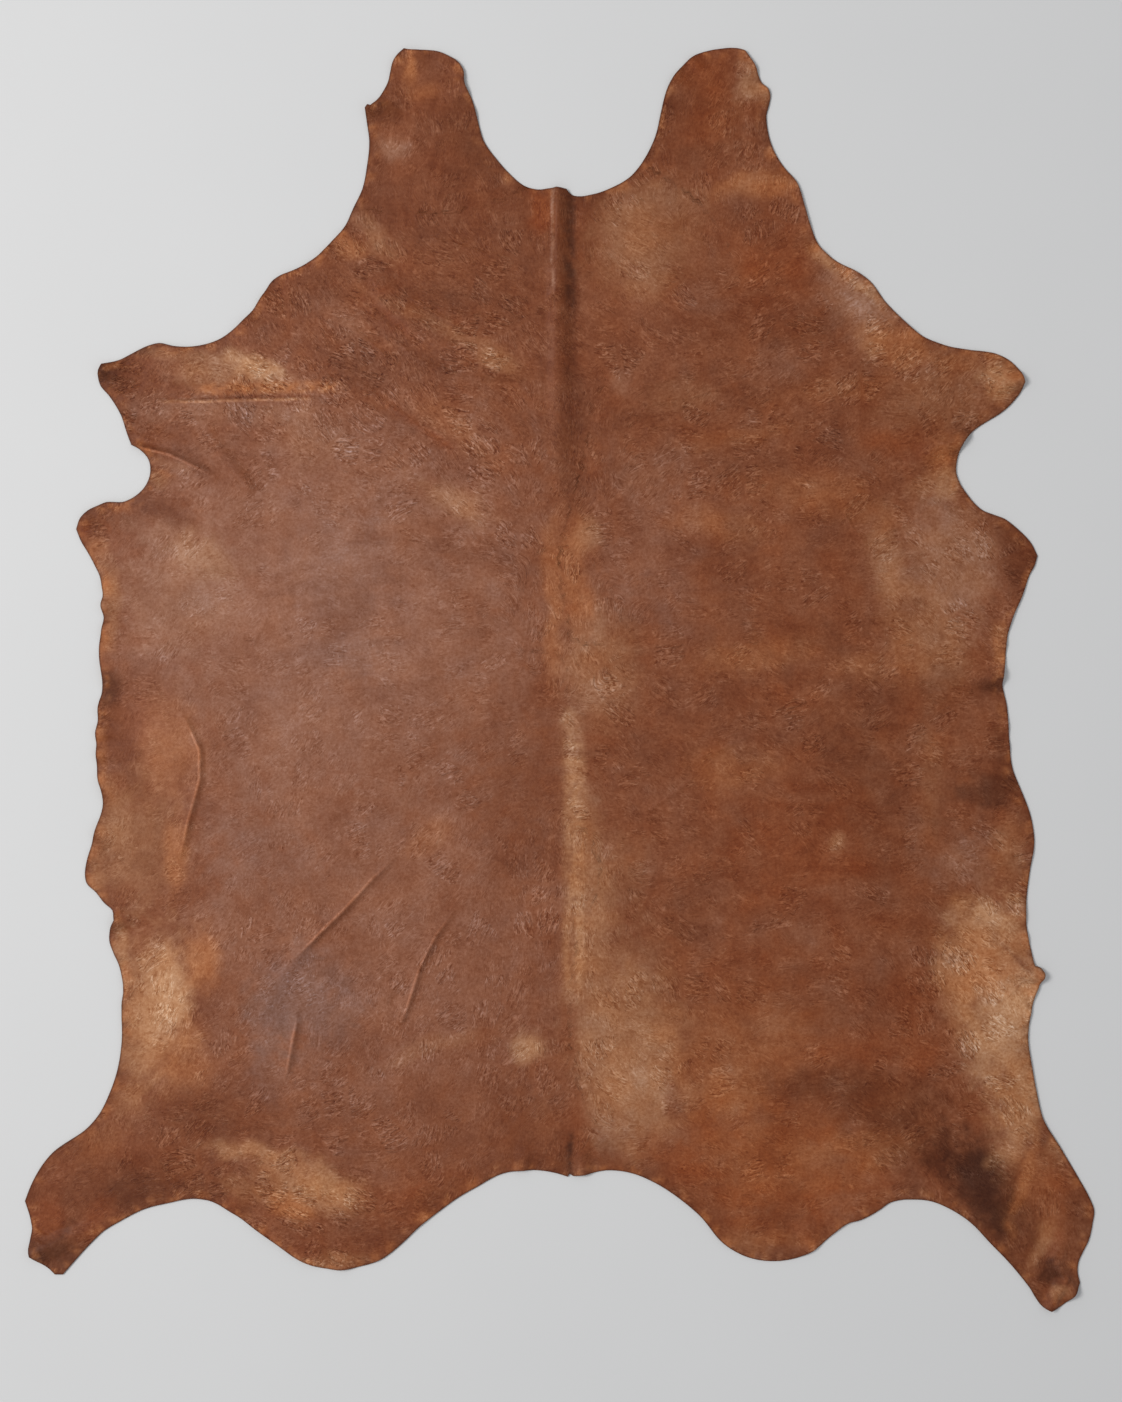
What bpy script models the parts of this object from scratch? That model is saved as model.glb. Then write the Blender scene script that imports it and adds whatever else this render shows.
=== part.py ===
"""Leather hide: one whole finished skin, lying flat with its own folds and lifted edges.

The sheet lies in the XY plane with its underside on Z = 0.  +Y points to the neck, +X to the hide's right
when it is seen from above, and the origin is under the middle of its bounding box.  All named sizes are
in millimetres; the finished mesh is in metres.
"""

import math
from typing import NamedTuple

import bpy
import numpy as np
from mathutils.geometry import delaunay_2d_cdt

MM = 0.001

# Driving sizes
HIDE_WIDTH = 1357.0
HIDE_LENGTH = 1602.0
THICKNESS = 1.8

# Spacing of the mesh: along the cut edge, where the sheet bends, and where it lies flat
RIM_STEP = 13.0
FINE_STEP = 11.5
FLAT_STEP_RATIO = 4
BEND_TOLERANCE = 0.5
RIM_CLEARANCE = 7.0
MERGE_GAP = 0.001

# The triangular lattice: the space between its rows as a share of its step
ROW_RATIO = math.sqrt(0.75)

# Where folds and waves meet: the share of the ground's height that a fold keeps under it, how far waves
# stray from even spacing, how often they stray along their stretch, and how fast they fade inwards
KEPT_GROUND = 0.6
WAVE_STRAY = 0.35
WAVE_STRAY_TURNS = 2.3
WAVE_FADE_POWER = 1.5

# Finish
LEATHER_COLOUR = (0.185, 0.068, 0.030, 1.0)
LEATHER_ROUGHNESS = 0.48

SHARP = True


class EdgePoint(NamedTuple):
    """One point the knife passed through, and whether the cut turns a corner there."""

    x: float
    y: float
    sharp: bool = False


class Fold(NamedTuple):
    """A raised fold along a line: its height at each end, and how far it spreads to its left and right."""

    path: tuple
    rise_start: float
    rise_end: float
    spread_left: float
    spread_right: float


class EdgeWaves(NamedTuple):
    """Lifted waves of the cut edge between two places on it: how many, how high, how far they reach in."""

    start: tuple
    end: tuple
    count: int
    lift: float
    reach: float


class Swell(NamedTuple):
    """A broad soft rise of the sheet: its middle, its radii and its height."""

    x: float
    y: float
    radius_x: float
    radius_y: float
    rise: float


# The cut edge, clockwise from the spine at the neck.  Columns: x, y, and SHARP at a corner.
OUTLINE = {
    "neck_right": (
        (-9, 624), (8, 622, SHARP), (15, 615), (38, 615), (65, 624), (89, 638), (108, 662),
        (121, 689), (129, 723), (137, 752), (152, 775), (178, 795), (203, 800), (229, 800),
    ),
    "right_head": (
        (235, 798, SHARP), (248, 778), (257, 756), (264, 750, SHARP), (267, 742), (262, 717),
        (264, 695), (271, 672), (287, 647), (300, 632), (309, 606), (319, 573), (330, 549),
    ),
    "right_shoulder": (
        (351, 531), (384, 513), (396, 503), (411, 482), (432, 460), (457, 438), (486, 425),
        (523, 418), (552, 414), (572, 404), (585, 389), (589, 377), (578, 356), (559, 338), (533, 322),
    ),
    "right_armpit": (
        (516, 307), (504, 279), (503, 261), (516, 236), (536, 215), (564, 204), (582, 190),
        (598, 173), (606, 157), (596, 133), (587, 107), (574, 77), (567, 50), (565, 22),
    ),
    "right_flank": (
        (561, -3), (567, -32), (570, -74), (575, -115), (585, -140), (597, -172), (602, -206),
        (597, -239), (592, -280), (592, -312), (598, -344), (607, -369), (615, -375), (613, -383),
        (605, -396), (598, -422), (594, -455), (599, -491), (605, -524), (613, -557),
    ),
    "right_shank": (
        (635, -594), (660, -636), (673, -660), (678, -674), (676, -690), (671, -712), (664, -726),
        (658, -740), (657, -752), (659, -766), (652, -780), (636, -795), (623, -801), (613, -796),
        (597, -773), (572, -742), (546, -715), (521, -689),
    ),
    "right_butt": (
        (495, -672), (470, -662), (447, -660), (419, -664), (406, -673), (381, -686), (366, -690),
        (343, -707), (318, -727), (292, -736), (264, -738), (235, -732), (208, -716), (178, -681),
        (152, -659), (121, -639), (89, -626), (57, -623), (32, -628),
    ),
    "tail": (
        (17, -630), (12, -627, SHARP), (10, -631, SHARP), (1, -628),
    ),
    "left_butt": (
        (-25, -623), (-50, -623), (-76, -628), (-102, -642), (-133, -660), (-152, -674),
        (-178, -694), (-203, -718), (-229, -737), (-254, -745), (-278, -749), (-305, -746),
        (-330, -737), (-359, -717), (-386, -698), (-419, -675), (-444, -662), (-466, -659),
    ),
    "left_shank": (
        (-495, -664), (-527, -672), (-559, -688), (-579, -700), (-597, -717), (-617, -739),
        (-631, -755, SHARP), (-641, -755, SHARP), (-648, -748), (-660, -740), (-672, -731, SHARP),
        (-674, -722), (-670, -697), (-675, -674), (-679, -662, SHARP), (-673, -646), (-660, -621),
        (-642, -599), (-622, -585), (-604, -573), (-585, -552), (-572, -526),
    ),
    "left_flank": (
        (-562, -497), (-556, -458), (-556, -413), (-554, -388), (-561, -359), (-572, -331),
        (-571, -318), (-565, -305), (-568, -293), (-578, -284), (-589, -270), (-601, -258),
        (-602, -237), (-597, -219), (-587, -184), (-580, -159), (-581, -143), (-586, -125),
        (-588, -102), (-588, -87), (-589, -72), (-586, -48),
    ),
    "left_belly": (
        (-585, -30), (-581, -15), (-580, -1), (-584, 27), (-585, 43), (-581, 62), (-579, 78),
        (-582, 97), (-580, 109), (-584, 131), (-591, 146), (-599, 161), (-608, 176), (-614, 191),
        (-609, 204), (-599, 214), (-585, 221), (-575, 225),
    ),
    "left_armpit": (
        (-555, 225), (-537, 234), (-526, 246), (-520, 262), (-522, 279), (-533, 292), (-544, 298),
        (-550, 314), (-556, 333), (-572, 360), (-584, 375), (-586, 388), (-581, 400, SHARP),
    ),
    "left_shoulder": (
        (-558, 406), (-535, 418), (-509, 427), (-490, 423), (-457, 424), (-432, 432), (-417, 442),
        (-393, 465), (-375, 491), (-366, 505), (-330, 523), (-305, 539), (-290, 556), (-277, 569),
        (-261, 601),
    ),
    "left_head": (
        (-251, 622), (-245, 651), (-242, 685), (-245, 708), (-247, 724, SHARP), (-244, 728, SHARP),
        (-240, 727), (-228, 741), (-218, 759), (-212, 783), (-203, 797), (-198, 801, SHARP),
    ),
    "neck_left": (
        (-192, 799), (-171, 799), (-152, 796), (-131, 785, SHARP), (-123, 774), (-121, 756),
        (-112, 737), (-105, 712), (-97, 684), (-81, 661), (-62, 640), (-46, 627), (-28, 622),
    ),
}

# Folds.  Columns: path, rise at its start, rise at its end, spread to its left, spread to its right.
FOLDS = {
    "spine_at_neck": Fold(((2, 632), (3, 520), (8, 390), (8, 250)), 10.0, 0.8, 26, 13),
    "loin_crease": Fold(((-210, -227), (-271, -286), (-334, -352), (-378, -426)), 2.5, 4.0, 14, 14),
    "loin_crease_branch": Fold(((-334, -350), (-273, -344)), 3.0, 1.0, 12, 12),
    "rump_crease": Fold(((-137, -298), (-157, -324), (-178, -366), (-198, -430)), 1.5, 4.0, 13, 15),
    "rump_crease_soft": Fold(((-203, -382), (-224, -404)), 1.5, 2.2, 14, 14),
    "thigh_crease": Fold(((-333, -430), (-348, -506)), 3.2, 1.5, 14, 14),
    "flank_crease": Fold(((-474, -51), (-457, -90), (-457, -128), (-479, -219)), 2.5, 1.2, 14, 16),
    "shoulder_crease_above": Fold(((-490, 386), (-400, 380), (-300, 380)), 2.5, 1.5, 26, 17),
    "shoulder_crease_below": Fold(((-500, 352), (-400, 346), (-300, 348)), 2.5, 1.5, 17, 26),
    "butt_roll": Fold(((-429, -622), (-370, -632), (-310, -632)), 1.5, 3.5, 28, 34),
    "left_armpit_pleat": Fold(((-537, 295), (-495, 285), (-457, 267)), 8.0, 1.5, 13, 16),
    "left_armpit_pleat_upper": Fold(((-544, 322), (-512, 309), (-482, 296)), 6.0, 1.0, 16, 12),
    "left_armpit_pleat_inner": Fold(((-442, 304), (-419, 279), (-399, 247)), 2.0, 2.5, 17, 14),
    "left_chest_fold": Fold(((-606, 200), (-530, 224), (-448, 204)), 7.0, 1.5, 20, 24),
    "right_armpit_pleat": Fold(((514, 306), (478, 296), (446, 276)), 8.0, 1.5, 20, 14),
    "right_flank_tuck": Fold(((564, 4), (522, -2)), 8.0, 1.0, 14, 18),
    "right_teat": Fold(((612, -376), (560, -374)), 9.0, 1.0, 13, 17),
    "right_foreleg_pucker": Fold(((588, 380), (548, 372)), 8.0, 1.5, 14, 18),
    "right_shank_pucker": Fold(((652, -778), (630, -740), (640, -712)), 9.0, 2.0, 16, 14),
    "right_shank_end_roll": Fold(((622, -799), (640, -760)), 6.0, 6.0, 13, 13),
    "left_shank_end_roll": Fold(((-672, -730), (-632, -712), (-600, -700)), 8.0, 2.0, 15, 20),
    "left_head_pleat": Fold(((-245, 727), (-212, 722)), 8.0, 1.5, 13, 16),
    "left_flank_pleat": Fold(((-566, -306), (-530, -298)), 7.0, 1.0, 14, 18),
    "tail_pleat_left": Fold(((-48, -625), (-44, -592)), 4.0, 0.8, 16, 16),
    "tail_pleat_right": Fold(((30, -629), (28, -594)), 5.0, 0.8, 16, 16),
    "left_foreleg_roll": Fold(((-582, 394), (-545, 384)), 7.0, 1.5, 17, 14),
}

# Waves of the cut edge.  Columns: start and end on the edge, count, lift, reach inwards.
EDGE_WAVES = {
    "left_belly": EdgeWaves((-591, 146), (-602, -237), 10, 6.0, 42),
    "left_haunch": EdgeWaves((-572, -331), (-556, -458), 2, 3.0, 40),
    "right_belly": EdgeWaves((606, 157), (575, -115), 6, 5.0, 42),
    "right_haunch": EdgeWaves((602, -206), (594, -455), 5, 4.5, 42),
    "left_shoulder": EdgeWaves((-509, 427), (-261, 601), 5, 4.5, 40),
    "right_shoulder": EdgeWaves((264, 695), (523, 418), 6, 4.0, 40),
    "left_neck": EdgeWaves((-242, 685), (-97, 684), 5, 4.0, 34),
    "right_neck": EdgeWaves((108, 662), (262, 717), 5, 4.0, 34),
    "right_butt": EdgeWaves((447, -660), (178, -681), 3, 3.5, 45),
    "left_butt": EdgeWaves((-152, -674), (-466, -659), 4, 3.5, 45),
}

# Broad unevenness.  Columns: x, y, radius along x, radius along y, rise.
SWELLS = (
    Swell(-330, 120, 150, 190, 2.6),
    Swell(-300, -200, 170, 150, 3.0),
    Swell(-140, 420, 110, 140, 2.4),
    Swell(170, 470, 120, 120, 2.6),
    Swell(350, 250, 140, 120, 2.2),
    Swell(420, -330, 110, 170, 2.8),
    Swell(-180, -500, 150, 110, 2.4),
    Swell(210, -560, 130, 90, 2.2),
    Swell(-500, -560, 80, 90, 2.6),
    Swell(560, -640, 70, 90, 2.6),
)


def clear_scene() -> None:
    """Remove every object that is in the scene to begin with."""
    for item in list(bpy.data.objects):
        bpy.data.objects.remove(item, do_unlink=True)


def smooth_rim(points: list, step: float) -> np.ndarray:
    """Sample a smooth closed curve through the edge points at about one step; sharp points stay corners."""
    spots = np.array([(point.x, point.y) for point in points], dtype=float)
    chord = np.roll(spots, -1, axis=0) - spots
    length = np.linalg.norm(chord, axis=1)[:, None]
    ahead = chord / length
    behind = np.roll(ahead, 1, axis=0)
    length_behind = np.roll(length, 1, axis=0)
    tangent = (behind * length + ahead * length_behind) / (length + length_behind)
    samples = []
    for here, point in enumerate(points):
        after = (here + 1) % len(points)
        leave = ahead[here] if point.sharp else tangent[here]
        arrive = ahead[here] if points[after].sharp else tangent[after]
        count = max(1, round(float(length[here, 0]) / step))
        for t in np.arange(count) / count:
            samples.append(
                spots[here] * (1 - t) ** 2 * (1 + 2 * t)
                + spots[after] * t ** 2 * (3 - 2 * t)
                + leave * length[here] * t * (1 - t) ** 2
                - arrive * length[here] * t ** 2 * (1 - t)
            )
    return np.array(samples)


def inside(spots: np.ndarray, rim: np.ndarray) -> np.ndarray:
    """Tell which spots lie inside the closed rim, by counting the rim lines to the right of each."""
    start, end = rim, np.roll(rim, -1, axis=0)
    crosses = (start[:, 1] > spots[:, 1:2]) != (end[:, 1] > spots[:, 1:2])
    rise = end[:, 1] - start[:, 1]
    rise = np.where(rise == 0, 1.0, rise)
    where = start[:, 0] + (spots[:, 1:2] - start[:, 1]) * (end[:, 0] - start[:, 0]) / rise
    return ((crosses & (spots[:, 0:1] < where)).sum(axis=1) % 2).astype(bool)


def fold_height(spots: np.ndarray, fold: Fold) -> np.ndarray:
    """Height that one fold gives to each spot."""
    corners = np.array(fold.path, dtype=float)
    legs = np.diff(corners, axis=0)
    run = np.concatenate(([0.0], np.cumsum(np.linalg.norm(legs, axis=1))))
    nearest = np.full(len(spots), np.inf)
    height = np.zeros(len(spots))
    for leg, start, before, after in zip(legs, corners, run, run[1:]):
        share = np.clip(((spots - start) @ leg) / (leg @ leg), 0.0, 1.0)
        offset = spots - (start + share[:, None] * leg)
        distance = np.linalg.norm(offset, axis=1)
        on_left = leg[0] * offset[:, 1] - leg[1] * offset[:, 0] > 0
        spread = np.where(on_left, fold.spread_left, fold.spread_right)
        along = (before + share * (after - before)) / run[-1]
        crest = fold.rise_start + (fold.rise_end - fold.rise_start) * along
        profile = np.clip(1 - (distance / spread) ** 2, 0.0, None) ** 2
        height = np.where(distance < nearest, crest * profile, height)
        nearest = np.minimum(nearest, distance)
    return height


def wave_height(along: np.ndarray, depth: np.ndarray, rim_run: np.ndarray, rim: np.ndarray,
                wave: EdgeWaves) -> np.ndarray:
    """Height that one stretch of edge waves gives to spots at a place along the rim and a depth from it."""
    ends = [rim_run[np.argmin(np.linalg.norm(rim - end, axis=1))] for end in (wave.start, wave.end)]
    first, last = min(ends), max(ends)
    turn = np.clip((along - first) / (last - first), 0.0, 1.0)
    uneven = turn + WAVE_STRAY / wave.count * np.sin(2 * math.pi * turn * WAVE_STRAY_TURNS)
    crest = 0.5 - 0.5 * np.cos(2 * math.pi * wave.count * uneven)
    fade = np.clip(np.minimum(turn, 1 - turn) * wave.count, 0.0, 1.0)
    return wave.lift * crest * fade * np.clip(1 - depth / wave.reach, 0.0, None) ** WAVE_FADE_POWER


def swell_height(spots: np.ndarray, swell: Swell) -> np.ndarray:
    """Height that one broad swell gives to each spot."""
    across = (spots - (swell.x, swell.y)) / (swell.radius_x, swell.radius_y)
    return swell.rise * np.clip(1 - (across ** 2).sum(axis=1), 0.0, None) ** 2


def sheet_height(spots: np.ndarray, rim: np.ndarray) -> np.ndarray:
    """Height of the sheet's underside above the ground at each spot."""
    gaps = np.linalg.norm(spots[:, None, :] - rim[None, :, :], axis=2)
    rim_run = np.concatenate(([0.0], np.cumsum(np.linalg.norm(np.diff(rim, axis=0), axis=1))))
    along = rim_run[np.argmin(gaps, axis=1)]
    depth = gaps.min(axis=1)
    height = np.zeros(len(spots))
    for swell in SWELLS:
        height += swell_height(spots, swell)
    for wave in EDGE_WAVES.values():
        height += wave_height(along, depth, rim_run, rim, wave)
    for fold in FOLDS.values():
        height = np.maximum(height, fold_height(spots, fold) + KEPT_GROUND * height)
    return height


def lattice(rim: np.ndarray) -> np.ndarray:
    """Triangular lattice inside the rim: close set where the sheet bends, wide set where it lies flat."""
    low, high = rim.min(axis=0), rim.max(axis=0)
    row_step = FINE_STEP * ROW_RATIO
    rows = math.ceil((high[1] - low[1]) / row_step)
    columns = math.ceil((high[0] - low[0]) / FINE_STEP)
    spots, wide = [], []
    for row in range(rows):
        for column in range(-(row // 2) - 1, columns - row // 2 + 1):
            spots.append((low[0] + (column + row / 2) * FINE_STEP, low[1] + row * row_step))
            wide.append(row % FLAT_STEP_RATIO == 0 and column % FLAT_STEP_RATIO == 0)
    spots, wide = np.array(spots), np.array(wide)
    kept = inside(spots, rim)
    spots, wide = spots[kept], wide[kept]
    gaps = np.linalg.norm(spots[:, None, :] - rim[None, :, :], axis=2).min(axis=1)
    spots, wide = spots[gaps > RIM_CLEARANCE], wide[gaps > RIM_CLEARANCE]
    around = [
        sheet_height(spots + FINE_STEP * np.array((math.cos(angle), math.sin(angle))), rim)
        for angle in np.arange(6) * math.pi / 3
    ]
    bend = np.abs(np.array(around) + np.roll(around, 3, axis=0) - 2 * sheet_height(spots, rim)).max(axis=0)
    return spots[wide | (bend > BEND_TOLERANCE)]


def flat_sheet() -> tuple:
    """Triangulate the hide's outline: the spots in millimetres, their heights and the triangles."""
    points = [EdgePoint(*row) for stretch in OUTLINE.values() for row in stretch]
    rim = smooth_rim(points, RIM_STEP)
    spots = np.concatenate((rim, lattice(rim)))
    rim_edges = [(here, (here + 1) % len(rim)) for here in range(len(rim))]
    result = delaunay_2d_cdt([tuple(spot) for spot in spots], rim_edges, [], 1, MERGE_GAP)
    spots = np.array([tuple(spot) for spot in result[0]])
    return spots, sheet_height(spots, rim), result[2]


def fitted(spots: np.ndarray) -> np.ndarray:
    """Scale the spots to the driving width and length, with their middle on the origin."""
    low, high = spots.min(axis=0), spots.max(axis=0)
    return (spots - (low + high) / 2) * np.array((HIDE_WIDTH, HIDE_LENGTH)) / (high - low)


def leather() -> bpy.types.Material:
    """Red-brown finished leather with a soft sheen."""
    material = bpy.data.materials.new("leather")
    material.use_nodes = True
    shader = material.node_tree.nodes["Principled BSDF"]
    shader.inputs["Base Color"].default_value = LEATHER_COLOUR
    shader.inputs["Roughness"].default_value = LEATHER_ROUGHNESS
    shader.inputs["Metallic"].default_value = 0.0
    material.diffuse_color = LEATHER_COLOUR
    return material


def build_hide(collection: bpy.types.Collection) -> bpy.types.Object:
    """Build the hide: its underside as an open sheet, thickened upwards."""
    spots, height, triangles = flat_sheet()
    vertices = np.column_stack((fitted(spots), height)) * MM
    mesh = bpy.data.meshes.new("hide")
    mesh.from_pydata([tuple(vertex) for vertex in vertices], [], triangles)
    mesh.materials.append(leather())
    hide = bpy.data.objects.new("hide", mesh)
    collection.objects.link(hide)
    thicken = hide.modifiers.new("thickness", "SOLIDIFY")
    thicken.thickness = THICKNESS * MM
    thicken.offset = 1.0
    thicken.use_even_offset = True
    facet = hide.modifiers.new("facets", "TRIANGULATE")
    facet.quad_method = "BEAUTY"
    return hide


def main() -> None:
    """Build the part in a collection of its own."""
    clear_scene()
    collection = bpy.data.collections.new("leather_hide")
    bpy.context.scene.collection.children.link(collection)
    build_hide(collection)


main()
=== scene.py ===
"""A whole finished hide laid flat on a pale studio floor, seen from straight above.

The hide is one cut sheet.  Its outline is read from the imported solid, and its folds, lifted edges and broad
swells are worked out from the tables below, in millimetres: +X is the hide's right, +Y is the neck, and the
underside lies on Z = 0.  The finished meshes are in metres.
"""

from __future__ import annotations

import logging
import math
from dataclasses import dataclass, field
from enum import Enum, IntEnum
from itertools import chain

import bpy
import numpy as np
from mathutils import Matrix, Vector, noise
from mathutils.geometry import delaunay_2d_cdt
from mathutils.kdtree import KDTree


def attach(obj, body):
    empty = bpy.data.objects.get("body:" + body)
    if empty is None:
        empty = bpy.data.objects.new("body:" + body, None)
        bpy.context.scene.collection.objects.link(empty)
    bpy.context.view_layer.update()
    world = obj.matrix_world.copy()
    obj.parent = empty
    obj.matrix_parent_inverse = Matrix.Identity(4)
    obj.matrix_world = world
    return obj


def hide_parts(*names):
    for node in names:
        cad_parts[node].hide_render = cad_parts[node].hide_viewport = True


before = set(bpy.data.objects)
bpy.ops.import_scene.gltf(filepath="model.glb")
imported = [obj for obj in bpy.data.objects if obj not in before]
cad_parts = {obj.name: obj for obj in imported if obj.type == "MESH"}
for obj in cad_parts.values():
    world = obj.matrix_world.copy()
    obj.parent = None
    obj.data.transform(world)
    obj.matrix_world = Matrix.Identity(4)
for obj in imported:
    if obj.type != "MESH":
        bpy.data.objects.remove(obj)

log = logging.getLogger("hide")

MM = 0.001
ROW_RATIO = math.sqrt(0.75)

# How the triangulation is asked for the faces inside the given sides only.
INSIDE_SIDES = 1

# The noise module starts from the clock: this seed makes its patterns the same on each run.
PATTERN_SEED = 1795487292


# ---------------------------------------------------------------------------------------------------------
# Shader graphs
# ---------------------------------------------------------------------------------------------------------


class Signal:
    """One output of a shader node, which takes part in sums as a number, a vector or a colour."""

    def __init__(self, graph: ShaderGraph, socket: bpy.types.NodeSocket) -> None:
        """Wrap a socket.

        Args:
            graph: the graph that new nodes are added to.
            socket: the output socket that carries the value.
        """
        self.graph = graph
        self.socket = socket

    @property
    def is_wide(self) -> bool:
        """Whether the socket carries three numbers and not one."""
        return self.socket.type in ("VECTOR", "RGBA")

    def _combine(self, operation: str, first: Operand, second: Operand) -> Signal:
        """Add the node for one sum: Math for numbers, Vector Math where either side is wide.

        Args:
            operation: what the node does.
            first: the left side.
            second: the right side.

        Returns:
            The node's output.
        """
        sides = (first, second)
        if any(isinstance(side, tuple) or isinstance(side, Signal) and side.is_wide for side in sides):
            return self.graph.vector_math(operation, first, second)
        return self.graph.math(operation, first, second)

    def __add__(self, other: Operand) -> Signal:
        """Sum of two values."""
        return self._combine("ADD", self, other)

    def __radd__(self, other: Operand) -> Signal:
        """Sum of two values, reflected."""
        return self._combine("ADD", other, self)

    def __sub__(self, other: Operand) -> Signal:
        """Difference of two values."""
        return self._combine("SUBTRACT", self, other)

    def __rsub__(self, other: Operand) -> Signal:
        """Difference of two values, reflected."""
        return self._combine("SUBTRACT", other, self)

    def __mul__(self, other: Operand) -> Signal:
        """Product of two values."""
        return self._combine("MULTIPLY", self, other)

    def __rmul__(self, other: Operand) -> Signal:
        """Product of two values, reflected."""
        return self._combine("MULTIPLY", other, self)

    def __pow__(self, other: Operand) -> Signal:
        """A value raised to a power."""
        return self._combine("POWER", self, other)

    def magnitude(self) -> Signal:
        """The value without its sign."""
        return self.graph.math("ABSOLUTE", self)

    def ramp(self, low: float, high: float) -> Signal:
        """Smooth step from 0 at low to 1 at high; high may be the smaller."""
        inputs = {"Value": self, "From Min": low, "From Max": high}
        return self.graph.node("ShaderNodeMapRange", {"interpolation_type": "SMOOTHSTEP"}, inputs)["Result"]

    def parts(self) -> tuple[Signal, Signal, Signal]:
        """The three numbers of a vector."""
        placed = self.graph.node("ShaderNodeSeparateXYZ", {}, {"Vector": self})
        return placed["X"], placed["Y"], placed["Z"]


Operand = Signal | float | tuple[float, float, float]


class Placed:
    """A node in a graph, whose outputs are taken by name."""

    def __init__(self, graph: ShaderGraph, node: bpy.types.Node) -> None:
        """Wrap a node.

        Args:
            graph: the graph it is in.
            node: the node itself.
        """
        self.graph = graph
        self.node = node

    def __getitem__(self, name: str) -> Signal:
        """The output with that name or identifier."""
        return Signal(self.graph, find_socket(self.node.outputs, name))


def find_socket(sockets: bpy.types.bpy_prop_collection, name: str) -> bpy.types.NodeSocket:
    """Find a socket by its identifier, or else by its name.

    Args:
        sockets: a node's inputs or outputs.
        name: the identifier or the name.

    Returns:
        The socket.
    """
    for socket in sockets:
        if socket.identifier == name:
            return socket
    return sockets[name]


class ShaderGraph:
    """The node tree of one material, built from expressions."""

    def __init__(self, name: str) -> None:
        """Start an empty material.

        Args:
            name: the material's name.
        """
        self.material = bpy.data.materials.new(name)
        self.material.use_nodes = True
        self.material.node_tree.nodes.clear()

    def node(self, kind: str, settings: dict, inputs: dict) -> Placed:
        """Add a node.

        Args:
            kind: the node's type.
            settings: its settings, which are set first.
            inputs: the value or link of each socket, by name or identifier.

        Returns:
            The node in its place.
        """
        tree = self.material.node_tree
        node = tree.nodes.new(kind)
        for name, value in settings.items():
            setattr(node, name, value)
        for name, value in inputs.items():
            socket = find_socket(node.inputs, name)
            if isinstance(value, Signal):
                tree.links.new(value.socket, socket)
            elif socket.type == "RGBA":
                socket.default_value = (*value, 1.0)
            else:
                socket.default_value = value
        return Placed(self, node)

    def math(self, operation: str, *values: Signal | float) -> Signal:
        """Work on numbers with one Math node."""
        inputs = dict(zip(("Value", "Value_001"), values))
        return self.node("ShaderNodeMath", {"operation": operation}, inputs)["Value"]

    def vector_math(self, operation: str, *values: Operand) -> Signal:
        """Work on vectors or colours with one Vector Math node.

        Args:
            operation: what the node does.
            values: its inputs; a plain number fills all three places.

        Returns:
            The node's output.
        """
        wide = [(value,) * 3 if isinstance(value, (int, float)) else value for value in values]
        inputs = dict(zip(("Vector", "Vector_001"), wide))
        return self.node("ShaderNodeVectorMath", {"operation": operation}, inputs)["Vector"]

    def mix(self, factor: Signal | float, first: Operand, second: Operand) -> Signal:
        """Blend two colours, from the first at factor 0 to the second at factor 1."""
        inputs = {"Factor_Float": factor, "A_Color": first, "B_Color": second}
        return self.node("ShaderNodeMix", {"data_type": "RGBA"}, inputs)["Result_Color"]

    def place(self) -> Signal:
        """Place on the object, in millimetres."""
        return self.node("ShaderNodeTexCoord", {}, {})["Object"] * (1 / MM)

    def attribute(self, name: str) -> Placed:
        """A named value carried by the mesh's points."""
        return self.node("ShaderNodeAttribute", {"attribute_name": name}, {})

    def clouds(self, place: Signal, size: float, detail: float, roughness: float = 0.55,
               stray: float = 0.0) -> Signal:
        """Soft noise, centred on zero.

        Args:
            place: where, in millimetres.
            size: how wide its patches are, in millimetres.
            detail: how many finer layers it has.
            roughness: how strong each finer layer is.
            stray: how far it is pulled out of shape.

        Returns:
            A number from about -0.5 to 0.5.
        """
        inputs = {
            "Vector": place,
            "Scale": 1 / size,
            "Detail": detail,
            "Roughness": roughness,
            "Distortion": stray,
        }
        return self.node("ShaderNodeTexNoise", {}, inputs)["Fac"] - 0.5

    def cells(self, place: Signal, size: float, **settings: str) -> Placed:
        """Flat cells of a width in millimetres."""
        inputs = {"Vector": place, "Scale": 1 / size}
        return self.node("ShaderNodeTexVoronoi", {"voronoi_dimensions": "2D", **settings}, inputs)

    def cell_depth(self, place: Signal, size: float) -> Signal:
        """How deep inside its flat cell each place is, as a share of the cell's width."""
        return self.cells(place, size, feature="DISTANCE_TO_EDGE")["Distance"]

    def bump(self, height: Signal, depth: float) -> Signal:
        """Turn a height of 0 to 1 into a bent normal, for a relief of a depth in millimetres."""
        return self.node("ShaderNodeBump", {}, {"Height": height, "Distance": depth * MM})["Normal"]

    def finish(self, constants: dict, varying: dict) -> bpy.types.Material:
        """Close the graph with one Principled shader.

        Args:
            constants: plain values of its sockets.
            varying: signals for its sockets.

        Returns:
            The finished material.
        """
        shader = self.node("ShaderNodeBsdfPrincipled", {}, {**constants, **varying})
        self.node("ShaderNodeOutputMaterial", {}, {"Surface": shader["BSDF"]})
        return self.material


# ---------------------------------------------------------------------------------------------------------
# Finishes
# ---------------------------------------------------------------------------------------------------------


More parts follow.
